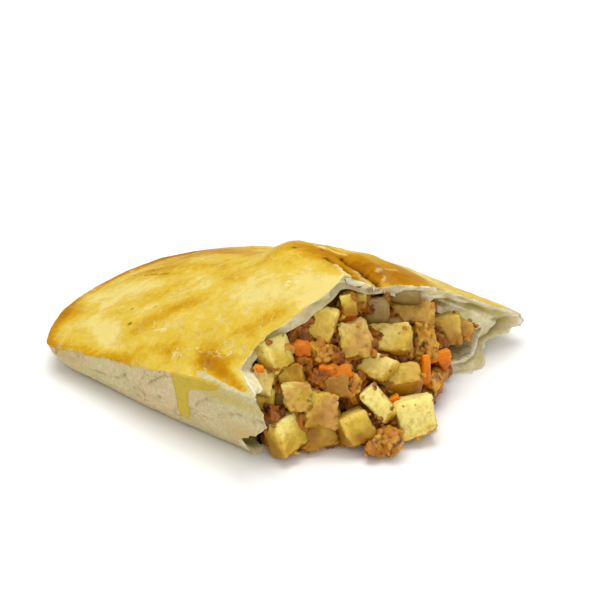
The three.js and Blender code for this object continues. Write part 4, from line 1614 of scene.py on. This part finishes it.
@dataclass
class Filling:
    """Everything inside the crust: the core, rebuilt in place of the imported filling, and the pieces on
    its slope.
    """

    seat: Seat
    rng: np.random.Generator = field(default_factory=lambda: np.random.default_rng(20417))
    potatoes: Tuple[Bit, ...] = (
        Bit((3.7, 3.0, 5.4), (6.4, 8.6, 9.0), (-6, -26, 8), 0.2),
        Bit((20.1, 31.0, 5.1), (8.8, 9.4, 9.4), (-34, -20, 8), 0.05),
        Bit((14.8, 23.7, 10.1), (6.0, 5.2, 9.6), (-51, -31, 44), 0.0),
        Bit((13.5, 16.9, 5.6), (7.6, 7.8, 7.6), (-25, -23, 13), 0.7, 0.15),
        Bit((12.5, 34.4, 11.0), (8.5, 9.6, 6.4), (-40, -66, 10), 0.85, 0.3),
        Bit((8.9, 29.9, 15.1), (8.0, 8.4, 6.6), (-70, -40, -8), 0.4, 0.25),
        Bit((5.8, 37.2, 18.9), (8.0, 10.8, 7.4), (-45, -42, -5), 0.4, 0.5),
        Bit((-2.0, 20.7, 27.1), (7.0, 7.4, 8.6), (-50, -36, -20), 0.4, 0.2),
        Bit((-4.6, 7.1, 23.1), (7.0, 8.0, 8.4), (-8, -26, 8), 0.12),
        Bit((-4.2, 1.6, 17.6), (6.0, 6.6, 6.4), (-20, -36, -30), 0.05, 0.4),
        Bit((-0.5, 9.4, 17.2), (6.0, 6.6, 5.4), (-55, -30, 20), 0.95),
        Bit((-3.2, 2.4, 12.6), (6.0, 5.4, 6.0), (-45, -20, 5), 0.5),
        Bit((6.6, 10.4, 3.6), (6.4, 8.6, 6.4), (-30, -24, 4), 1.1, 0.4),
        Bit((-3.4, 30.2, 29.3), (6.0, 5.4, 5.6), (-45, -10, 10), 0.6, 0.5),
        Bit((-2.3, 34.2, 28.1), (6.0, 4.8, 5.4), (-50, -15, 0), 0.6),
        Bit((6.3, 17.6, 14.0), (6.0, 6.4, 5.6), (-40, -30, 0), 1.1, 0.6),
        Bit((3.2, 26.9, 21.9), (7.6, 8.0, 9.2), (-40, -30, 12), 0.4, 1.1),
        Bit((2.5, 8.2, 14.1), (6.4, 6.8, 6.8), (-45, -20, 8), 0.4, 0.9),
        Bit((7.4, 11.8, 10.0), (6.6, 7.4, 9.0), (-40, -26, -8), 0.75, 1.25),
        # These two sit deep in the hollow, so their darker tints are partly painted shade
        Bit((1.5, 50.1, 20.1), (7.0, 9.8, 5.2), (-45, -30, -4), 0.5, 0.9),
        Bit((3.0, 61.6, 12.0), (6.0, 7.0, 7.6), (-45, -20, 6), 0.85, 0.5),
        Bit((3.4, 67.4, 9.6), (5.4, 6.4, 4.6), (-45, -25, -25), 0.5, 0.7),
        Bit((0.6, 27.6, 30.4), (4.0, 3.6, 5.6), (-45, -20, 12), 0.75),
    )
    onions: Tuple[Bit, ...] = (
        Bit((1.6, 37.0, 25.6), (3.6, 6.4, 7.4), (-45, -12, 4), 0.45),
        Bit((1.6, 47.0, 26.0), (3.4, 8.0, 4.2), (-47, -14, -6), 0.3),
        Bit((0.1, 5.9, 13.0), (3.4, 5.2, 6.4), (-48, -10, 0), 0.9),
        Bit((3.6, 40.1, 21.2), (3.0, 5.0, 4.0), (-48, -10, 0), 0.9),
    )
    carrots: Tuple[Bit, ...] = (
        Bit((12.7, 43.1, 11.1), (2.3, 2.5, 8.0), (-40, -8, -2), 0.0),
        Bit((10.4, 50.4, 11.0), (2.2, 6.0, 2.6), (-40, -8, 10), 0.1, 0.3),
        Bit((10.4, 52.6, 8.6), (2.4, 3.0, 3.4), (-20, 0, 30), 0.2),
        Bit((7.1, 18.4, 17.4), (2.6, 5.4, 3.6), (-40, 0, 20), 0.2, 0.7),
        Bit((5.3, 16.2, 18.6), (2.4, 4.4, 2.8), (-40, 0, -10), 0.6, 0.8),
        Bit((0.2, 12.2, 24.4), (2.8, 3.4, 3.0), (-40, 0, 10), 0.7, 0.8),
        Bit((-0.4, 28.1, 27.8), (4.0, 4.2, 4.0), (-40, 0, 10), 1.0),
        Bit((-2.4, 0.4, 22.4), (1.6, 1.8, 1.6), (-40, 0, 0), 0.4, 0.3),
        Bit((15.9, 28.6, 10.0), (2.0, 2.2, 2.0), (-40, 0, 30), 0.2),
    )
    lumps: Tuple[Bit, ...] = (
        Bit((1.6, 17.2, 21.8), (6.0, 6.2, 6.8), (0, 0, 0), 0.25),
        Bit((3.7, 14.1, 16.8), (5.0, 4.6, 5.2), (0, 0, 0), 1.4),
        Bit((5.2, 49.5, 15.8), (6.0, 7.0, 9.0), (0, 10, 0), -0.05),
        Bit((8.0, 48.2, 12.0), (5.0, 6.0, 6.0), (0, 10, 0), 0.1),
        Bit((12.0, 46.6, 5.0), (6.0, 6.2, 7.6), (0, 0, 0), 0.2),
        Bit((21.4, 19.9, 3.4), (7.6, 8.4, 6.8), (20, 0, 0), 0.15),
        Bit((19.6, 16.6, 2.4), (5.0, 5.6, 4.8), (0, 0, 0), 0.4),
        Bit((17.3, 28.0, 4.2), (5.4, 5.4, 7.4), (0, 0, 0), 0.7),
        Bit((8.9, 20.6, 12.9), (4.8, 5.4, 8.0), (0, 0, 0), 0.25),
        Bit((0.2, 2.0, 9.2), (6.6, 6.6, 7.4), (0, 0, 0), 1.0),
        Bit((4.2, 7.8, 8.0), (5.0, 5.0, 7.0), (0, 0, 0), 0.9),
        Bit((2.9, 21.0, 19.7), (5.4, 6.2, 6.0), (0, 0, 0), 0.8),
        Bit((-3.3, 14.1, 25.7), (5.0, 5.4, 5.0), (0, 0, 0), 0.9),
        Bit((8.2, 38.3, 12.6), (6.0, 6.0, 5.0), (0, 0, 0), 1.0),
        Bit((-0.6, 58.1, 19.0), (5.0, 6.0, 5.0), (0, 0, 0), 0.9),
        Bit((-2.3, 37.3, 27.1), (5.0, 5.0, 5.0), (0, 0, 0), 0.8),
        Bit((0.2, 13.1, 19.7), (5.0, 5.0, 5.6), (0, 0, 0), 0.7),
        Bit((-2.3, 18.4, 25.1), (4.6, 5.0, 4.6), (0, 0, 0), 0.6),
        Bit((4.9, 29.9, 18.1), (5.0, 5.0, 5.0), (0, 0, 0), 0.6),
        Bit((3.9, 57.1, 10.4), (5.0, 5.0, 6.0), (0, 0, 0), 0.6),
        Bit((8.4, 52.8, 4.8), (4.2, 4.6, 6.0), (0, 0, 0), 0.4),
        Bit((8.2, 14.2, 2.6), (4.4, 4.8, 4.8), (0, 0, 0), 0.8),
        Bit((4.2, 7.0, 1.8), (3.6, 4.0, 3.4), (0, 0, 0), 0.9),
    )
    scattered: int = 240
    clinging_crumbs: int = 260

    def build(self) -> List[bpy.types.Object]:
        """Makes the core and one piece for each kind of food in it.

        Returns:
            The pieces. The core is the first, and minced meat the last two.
        """
        return [
            self.core(),
            self.cut_pieces("potato_dice", self.potatoes, steps=20, rounding=0.26, warp=0.18, uneven=0.42),
            self.cut_pieces("onion_slices", self.onions, steps=14, rounding=0.75, warp=0.2, uneven=0.2),
            self.cut_pieces("carrot_dice", self.carrots, steps=12, rounding=0.4, warp=0.16, uneven=0.25),
            self.mince(),
            self.crumbs(),
        ]

    @staticmethod
    def set_down(points: Array, bits: Sequence[Bit]) -> Array:
        """Turns and moves pieces to their places, and lifts any that would sink into the floor.

        Args:
            points: the pieces' points about their own middles, shape (pieces, ..., 3).
            bits: where they go.

        Returns:
            The points in their places.
        """
        points = turned(points, np.array([bit.turns for bit in bits], float))
        shape = (len(bits),) + (1,) * (points.ndim - 2) + (3,)
        points = points + np.array([bit.at for bit in bits]).reshape(shape)
        lowest = points.reshape(len(bits), -1, 3)[..., 2].min(axis=1)
        points[..., 2] += np.maximum(0.0, -lowest).reshape(shape[:-1])
        return points

    @staticmethod
    def of_each(bits: Sequence[Bit], name: str, axes: int = 3) -> Array:
        """A field of each piece, with `axes` more axes so that it spreads over the piece's points."""
        values = np.array([getattr(bit, name) for bit in bits])
        return values.reshape(values.shape[:1] + (1,) * axes + values.shape[1:])

    @staticmethod
    def outward(points: Array) -> Array:
        """Unit directions from each piece's middle to its points."""
        away = points - points.mean(axis=tuple(range(1, points.ndim - 1)), keepdims=True)
        return away / np.maximum(np.linalg.norm(away, axis=-1, keepdims=True), 1e-6)

    def cut_pieces(self, name: str, bits: Sequence[Bit], steps: int, rounding: float, warp: float,
                   uneven: float) -> bpy.types.Object:
        """Knife-cut pieces of one kind, with a soft uneven surface.

        Args:
            name: the piece's name.
            bits: where and how large.
            steps: quads along each edge.
            rounding: corner radius as a share of half the edge.
            warp: how far the corners drift.
            uneven: height of the unevenness in millimetres.

        Returns:
            The pieces as one object.
        """
        unit, edge = blocks(len(bits), steps, rounding, self.rng, warp)
        sizes = self.of_each(bits, "size")
        points = self.set_down(unit * sizes, bits)
        crushed = self.of_each(bits, "rough")
        pits = grains(points, 1.3, 71) - 0.6
        chips = edge * uneven * (1.6 * fractal(points, 1.5, 2, 77) - 0.4)
        swell = uneven * fractal(points, 3.4, 3, 73) + chips
        swell = swell + crushed * (1.3 * fractal(points, 2.9, 3, 75) + (0.35 + 0.75 * edge) * pits)
        points = points + self.outward(points) * swell[..., None]
        points[..., 2] = np.maximum(points[..., 2], 0.0)
        made = Surface.from_grid(points.reshape((-1,) + points.shape[2:]))
        # Painted shade: each piece is darker towards its bottom and on the faces that don't look up; noise
        # adds uneven gravy
        centre = points.mean(axis=(1, 2, 3), keepdims=True)
        below = smooth(0.5 - (points - centre)[..., 2] / (0.8 * sizes[..., 2]))
        ways = np.stack([sign * np.eye(3)[axis] for axis in range(3) for sign in (1.0, -1.0)])
        turns = np.array([bit.turns for bit in bits])
        looks_up = turned(np.broadcast_to(ways, (len(bits), 6, 3)), turns)[..., 2]
        soak_and_shade = 0.5 * smooth((0.55 - looks_up) / 1.1) + self.rng.uniform(-0.12, 0.12, looks_up.shape)
        tint = self.of_each(bits, "tint") + soak_and_shade[..., None, None]
        tint = tint + 0.5 * below + 0.5 * fractal(points, 5.5, 2, 79) - 0.15 * edge - 0.15
        made.values["tint"] = tint.reshape(-1)
        # Painted shade in the pits of crushed pieces
        made.values["gap"] = (crushed * np.clip(-0.9 * pits - 0.3, 0, 0.4)).reshape(-1)
        mash = crushed * (0.6 + 1.2 * fractal(points, 4.0, 3, 81))
        made.values["mash"] = np.clip(mash, 0, 0.9).reshape(-1)
        return made.to_object(name, self.seat)

    def mince(self) -> bpy.types.Object:
        """Lumps of minced meat."""
        return self.knobbly(self.lumps, rows=44, columns=76).to_object("minced_meat", self.seat)

    def crumbs(self) -> bpy.types.Object:
        """Torn crumbs of minced meat all over the slope, and small ones that cling to the potato.

        Returns:
            The crumbs as one object.
        """
        loose = self.torn_crumbs([self.crumb() for _ in range(self.scattered)], steps=7)
        small = self.torn_crumbs([self.clinging() for _ in range(self.clinging_crumbs)], steps=3)
        return Surface.joined([loose, small]).to_object("minced_meat_crumbs", self.seat)

    def torn_crumbs(self, bits: Sequence[Bit], steps: int) -> Surface:
        """Blocks swollen and torn out of shape.

        Args:
            bits: where and how large.
            steps: quads along each edge.

        Returns:
            The crumbs, with the values that their finish reads.
        """
        unit, edge = blocks(len(bits), steps, 0.6, self.rng, 0.6)
        points = self.set_down(unit * self.of_each(bits, "size"), bits)
        size = self.of_each(bits, "size").min(axis=-1)
        fine = grains(points, 1.0, 89)
        swell = 1.7 * fractal(points, 2.2, 4, 85) + 0.5 * (fine - 0.6) - 0.2 * edge
        points = points + self.outward(points) * (swell * smooth(size / 3.0))[..., None]
        points[..., 2] = np.maximum(points[..., 2], 0.0)
        made = Surface.from_grid(points.reshape((-1,) + points.shape[2:]))
        patch = 0.6 * fractal(points, 2.6, 3, 87)
        made.values["tint"] = (self.of_each(bits, "tint") + patch).reshape(-1)
        # Painted shade in the gaps between the crumbs' grains
        made.values["gap"] = np.clip(0.95 - 1.3 * fine - 0.5 * edge, 0.0, 0.85).reshape(-1)
        return made

    def crumb(self) -> Bit:
        """A crumb somewhere on the slope.

        Returns:
            The crumb.
        """
        rng = self.rng
        size = float(rng.uniform(2.2, 4.6))
        place = SLOPE.at(rng.uniform(1.5, 59), rng.uniform(0.01, 0.9))
        place = place - rng.uniform(0.4, 2.6) * np.array([0.7, 0.0, 0.7])
        # The tints run dark: these crumbs lie in the gaps between pieces, and their darkness is partly
        # painted shade
        return Bit(tuple(place), tuple(size * rng.uniform(0.6, 1.25, 3)),
                   tuple(rng.uniform(0, 360, 3)), float(rng.uniform(0.3, 1.6)))

    def clinging(self) -> Bit:
        """A small crumb stuck to a potato, mostly near the edges of its faces.

        Returns:
            The crumb.
        """
        rng = self.rng
        host = self.potatoes[int(rng.integers(len(self.potatoes)))]
        spot = rng.uniform(0.3, 0.5, 3) * rng.choice([-1.0, 1.0], 3)
        spot[int(rng.integers(3))] *= rng.uniform(0.0, 1.0)
        spot[int(rng.integers(3))] = 0.47 * rng.choice([-1.0, 1.0])
        place = turned((spot * host.size)[None, None], np.array([host.turns], float))[0, 0] + host.at
        size = float(rng.uniform(0.6, 1.5))
        return Bit(tuple(place), tuple(size * rng.uniform(0.6, 1.3, 3)),
                   tuple(rng.uniform(0, 360, 3)), float(rng.uniform(0.0, 0.9)))

    def knobbly(self, bits: Sequence[Bit], rows: int, columns: int) -> Surface:
        """Balls swollen and dented into clusters of grains.

        Args:
            bits: where and how large.
            rows: quads from pole to pole.
            columns: quads round each ball.

        Returns:
            The lumps, with the values that their finish reads.
        """
        unit = balls(len(bits), rows, columns)
        points = self.set_down(unit * self.of_each(bits, "size", 2) / 2, bits)
        coarse, fine = grains(points, 1.7, 83), grains(points, 0.85, 89)
        uneven = 0.5 + 0.5 * noise(points, 2.6, 81)
        folds = 1.0 - 2.2 * np.abs(noise(points, 2.3, 86))
        swell = 2.3 * fractal(points, 3.4, 4, 85) + 0.9 * folds - 0.4
        swell = swell + (0.2 + 0.8 * uneven) * (coarse - 0.55) + 0.45 * (fine - 0.6)
        points = points + self.outward(points) * swell[..., None]
        # The poles' rings stay closed
        for row in (0, -1):
            points[:, row] = points[:, row, :1]
        points[..., 2] = np.maximum(points[..., 2], 0.0)
        made = Surface.from_grid(points, wrap=True)
        patch = 0.5 * fractal(points, 2.6, 3, 87)
        made.values["tint"] = (self.of_each(bits, "tint", 2) + patch).reshape(-1)
        # Painted shade in the gaps between the lumps' grains
        made.values["gap"] = np.clip(1.25 - 1.5 * coarse - 0.5 * fine, 0.0, 0.92).reshape(-1)
        return made

    def core(self) -> bpy.types.Object:
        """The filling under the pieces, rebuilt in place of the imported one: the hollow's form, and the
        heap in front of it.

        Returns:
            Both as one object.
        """
        shrunk = replace(HOLLOW, fold_inset=3.4, seam_inset=12.4, tip_inset=13.4, drop=3.8, floor=3.6)
        sheets = PLAN.sheets(shrunk, side=40, end=30, rows=26, base_rows=14)
        ring = Crust.ring(sheets)
        share = np.linspace(0, 1, 9)[:, None, None]
        plug = mix(ring[None], ring.mean(axis=0)[None, None], share)
        packed = Surface.joined([
            Surface.from_grid(sheets.top),
            Surface.from_grid(sheets.base, flip=True),
            Surface.from_grid(plug, flip=True, wrap=True),
        ])
        # Its face stands back behind the cut, farther at the fold's shoulder and at the seam
        x, y, _ = packed.points.T
        shoulder_side = smooth((17.0 - y) / 6.0) * smooth((packed.points[:, 2] - 12.0) / 5.0)
        back = 4.5 + 9.0 * smooth((y - 56.0) / 8.0) + 5.0 * shoulder_side
        packed.points[:, 0] -= back * np.clip(1.0 - (PLAN.cut(y) - x) / 28.0, 0, 1)
        packed.values["tint"] = np.full(len(packed.points), 0.6)
        # Half the painted gap shade darkens the whole core, which shows only between the pieces
        packed.values["gap"] = np.full(len(packed.points), 0.5)
        return Surface.joined([packed, self.heap()]).to_object("packed_filling", self.seat)

    def heap(self) -> Surface:
        """The heap behind the pieces: rings round x and z, carried along y, and closed at the ends.

        Returns:
            The heap, with the values that its finish reads.
        """
        y = np.linspace(0.5, SLOPE.ends, 190)
        fall = np.linspace(0, 1, 120)
        front = SLOPE.at(y[:, None], fall[None])
        front[..., 0] -= mix(1.6, 3.6, fall)[None]
        front[..., 2] -= 0.8
        coarse, fine = grains(front, 1.9, 91), grains(front, 0.95, 97)
        swell = 1.8 * fractal(front, 4.4, 3, 93) + 1.2 * (coarse - 0.5) + 0.5 * (fine - 0.5)
        front += swell[..., None] * np.array([0.8, 0.0, 0.55])
        front[..., 2] = np.maximum(front[..., 2], 0.0)
        back = np.stack([PLAN.cut(y) - 13.0, y, np.zeros_like(y)], -1)
        upper = back + np.array([0.0, 0.0, 8.0]) * hump((y - 20.0) / 44.0)[:, None]
        rings = np.concatenate([back[:, None], upper[:, None], front], axis=1)
        inner = rings.mean(axis=1, keepdims=True)
        ends = [np.broadcast_to(inner[i][None], (1,) + rings.shape[1:]) for i in (0, -1)]
        made = Surface.from_grid(np.concatenate([ends[0], rings, ends[1]]), wrap=True, flip=True)
        # Painted shade in the gaps between the heap's grains
        gap = np.zeros((len(y) + 2, len(fall) + 2))
        gap[1:-1, 2:] = np.clip(1.25 - 1.5 * coarse - 0.4 * fine, 0.0, 0.9)
        made.values["gap"] = gap.reshape(-1)
        made.values["tint"] = 0.5 + 0.6 * fractal(made.points, 3.4, 3, 99)
        return made

    def dress(self, pieces: Sequence[bpy.types.Object]) -> None:
        """Gives each kind of food its finish. Lumps and crumbs of mince share one.

        Args:
            pieces: as they come from build.
        """
        finishes = (
            # Gravy and crumbs pressed together: tan meat, brown where the gravy stands
            Cooked("gravy_soaked_core", roughness=0.4, light="#A4661A", middle="#84500E", dark="#6A3A08",
                   stain="#4A2002", stain_share=0.7, grain_mm=1.0, relief_mm=0.5),
            # Boiled potato: waxy yellow flesh, cut faces a little glossy, light goes in a few mm
            Cooked("boiled_potato", roughness=0.42, soft_share=0.55, soft_depth=2.6, stain_share=0.36,
                   clouds=0.75, specks=0.5),
            # Stewed onion: grey-brown, wet and glassy, light goes deep into it
            Cooked("stewed_onion", roughness=0.28, soft_share=0.5, soft_depth=3.0, light="#B09A68",
                   middle="#A08648", dark="#7C6020", stain="#7E5620", stain_share=0.3, grain_mm=2.0,
                   relief_mm=0.1),
            # Boiled carrot: deep orange, smooth and moist, with a fine grain
            Cooked("boiled_carrot", roughness=0.36, soft_share=0.15, soft_depth=1.2, light="#F48E00",
                   middle="#E47600", dark="#C85E00", stain="#A04A00", mash="#D88424", stain_share=0.4,
                   grain_mm=0.9, relief_mm=0.2),
            # Minced beef: tan crumbs, damp with orange fat, so they glint
            Cooked("cooked_mince", roughness=0.32, gloss=0.42, soft_share=0.2, soft_depth=1.2,
                   light="#E0A836", middle="#C27C12", dark="#783E04", stain="#B86C02", stain_share=0.75,
                   clouds=1.6, grain_mm=1.1, relief_mm=0.6),
        )
        made = [finish.make() for finish in finishes]
        for piece, material in zip(pieces, made + made[-1:]):
            piece.data.materials.append(material)
            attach(piece, "root")
            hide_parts("filling")


# -------------------- floor, lights and camera
@dataclass
class Studio:
    """A white table under a large soft light and a weaker one in front, and the camera.

    Places and lengths are in the pasty's millimetres, and angles in degrees.
    """

    seat: Seat
    azimuth: float = 45.0
    elevation: float = 28.0
    distance: float = 560.0
    lens: float = 138.6
    aim: Tuple[float, float, float] = (-6.49, 18.14, 32.75)
    # Each light's name, place, edge in metres and power in watts, and where all of them point
    lights: Tuple[Tuple[str, Tuple[float, float, float], float, float], ...] = (
        ("overhead_softbox", (-150.0, 90.0, 640.0), 0.5, 3.2),
        ("front_fill", (420.0, -300.0, 380.0), 0.6, 1.3),
    )
    lights_aim: Tuple[float, float, float] = (-20.0, 30.0, 10.0)
    room_light: float = 0.52
    table_reach: float = 4000.0
    table_roll: float = 40.0

    def floor(self) -> bpy.types.Object:
        """A wide flat sheet at the height of the pasty's base, with a slight roll at its edge.

        Returns:
            The sheet.
        """
        line = np.linspace(-1.0, 1.0, 41)
        u, v = np.meshgrid(line, line, indexing="ij")
        far = np.clip(np.hypot(u, v) - 0.9, 0, None)
        reach = self.table_reach
        sheet = Surface.from_grid(np.stack([u * reach, v * reach, -self.table_roll * far], -1))
        made = sheet.to_object("table_top", self.seat)
        made.data.materials.append(PaleFloor("matt_white_card", roughness=0.9).make())
        return made

    def light(self, name: str, place: Tuple[float, float, float], size: float, power: float) -> None:
        """A square soft light that faces the pasty.

        Args:
            name: the light's name.
            place: where it hangs.
            size: its edge in metres.
            power: in watts.
        """
        data = bpy.data.lights.new(name, "AREA")
        data.size = size
        data.energy = power
        lamp = bpy.data.objects.new(name, data)
        spot = Vector(self.seat.metres(np.array(place)))
        target = Vector(self.seat.metres(np.array(self.lights_aim)))
        lamp.location = spot
        lamp.rotation_euler = (target - spot).to_track_quat("-Z", "Y").to_euler()
        bpy.context.scene.collection.objects.link(lamp)

    def camera(self) -> None:
        """Looks at the cut from the front right, a little from above."""
        turn, rise = math.radians(self.azimuth), math.radians(self.elevation)
        back = Vector((math.sin(turn) * math.cos(rise), -math.cos(turn) * math.cos(rise), math.sin(rise)))
        data = bpy.data.cameras.new("camera")
        data.lens = self.lens
        data.sensor_width = 36.0
        data.clip_start = 0.01
        eye = bpy.data.objects.new("camera", data)
        aim = Vector(self.seat.metres(np.array(self.aim)))
        eye.location = aim + back * (self.distance / 1000.0)
        eye.rotation_euler = (-back).to_track_quat("-Z", "Y").to_euler()
        bpy.context.scene.collection.objects.link(eye)
        bpy.context.scene.camera = eye

    def build(self) -> None:
        """Sets the table, the lights, the even light all round and the camera."""
        self.floor()
        for name, place, size, power in self.lights:
            self.light(name, place, size, power)
        world = bpy.data.worlds.new("bright_room")
        world.use_nodes = True
        sky = next(n for n in world.node_tree.nodes if n.type == "BACKGROUND")
        sky.inputs["Color"].default_value = linear("#FFFFFF")
        sky.inputs["Strength"].default_value = self.room_light
        bpy.context.scene.world = world
        bpy.context.scene.view_settings.view_transform = "Standard"
        self.camera()


def main() -> None:
    """Builds the crust, the filling and the studio in order, and reports each piece."""
    logging.basicConfig(level=logging.INFO, format="%(name)s: %(message)s")
    seat = Seat.from_frame()
    crust = Crust(seat)
    shell = crust.build()
    crust.dress(shell)
    filling = Filling(seat)
    pieces = filling.build()
    filling.dress(pieces)
    for piece in [shell, *pieces]:
        triangles = sum(len(face.vertices) - 2 for face in piece.data.polygons)
        LOG.info("%s: %d triangles", piece.name, triangles)
    Studio(seat).build()


if __name__ == "__main__":
    main()
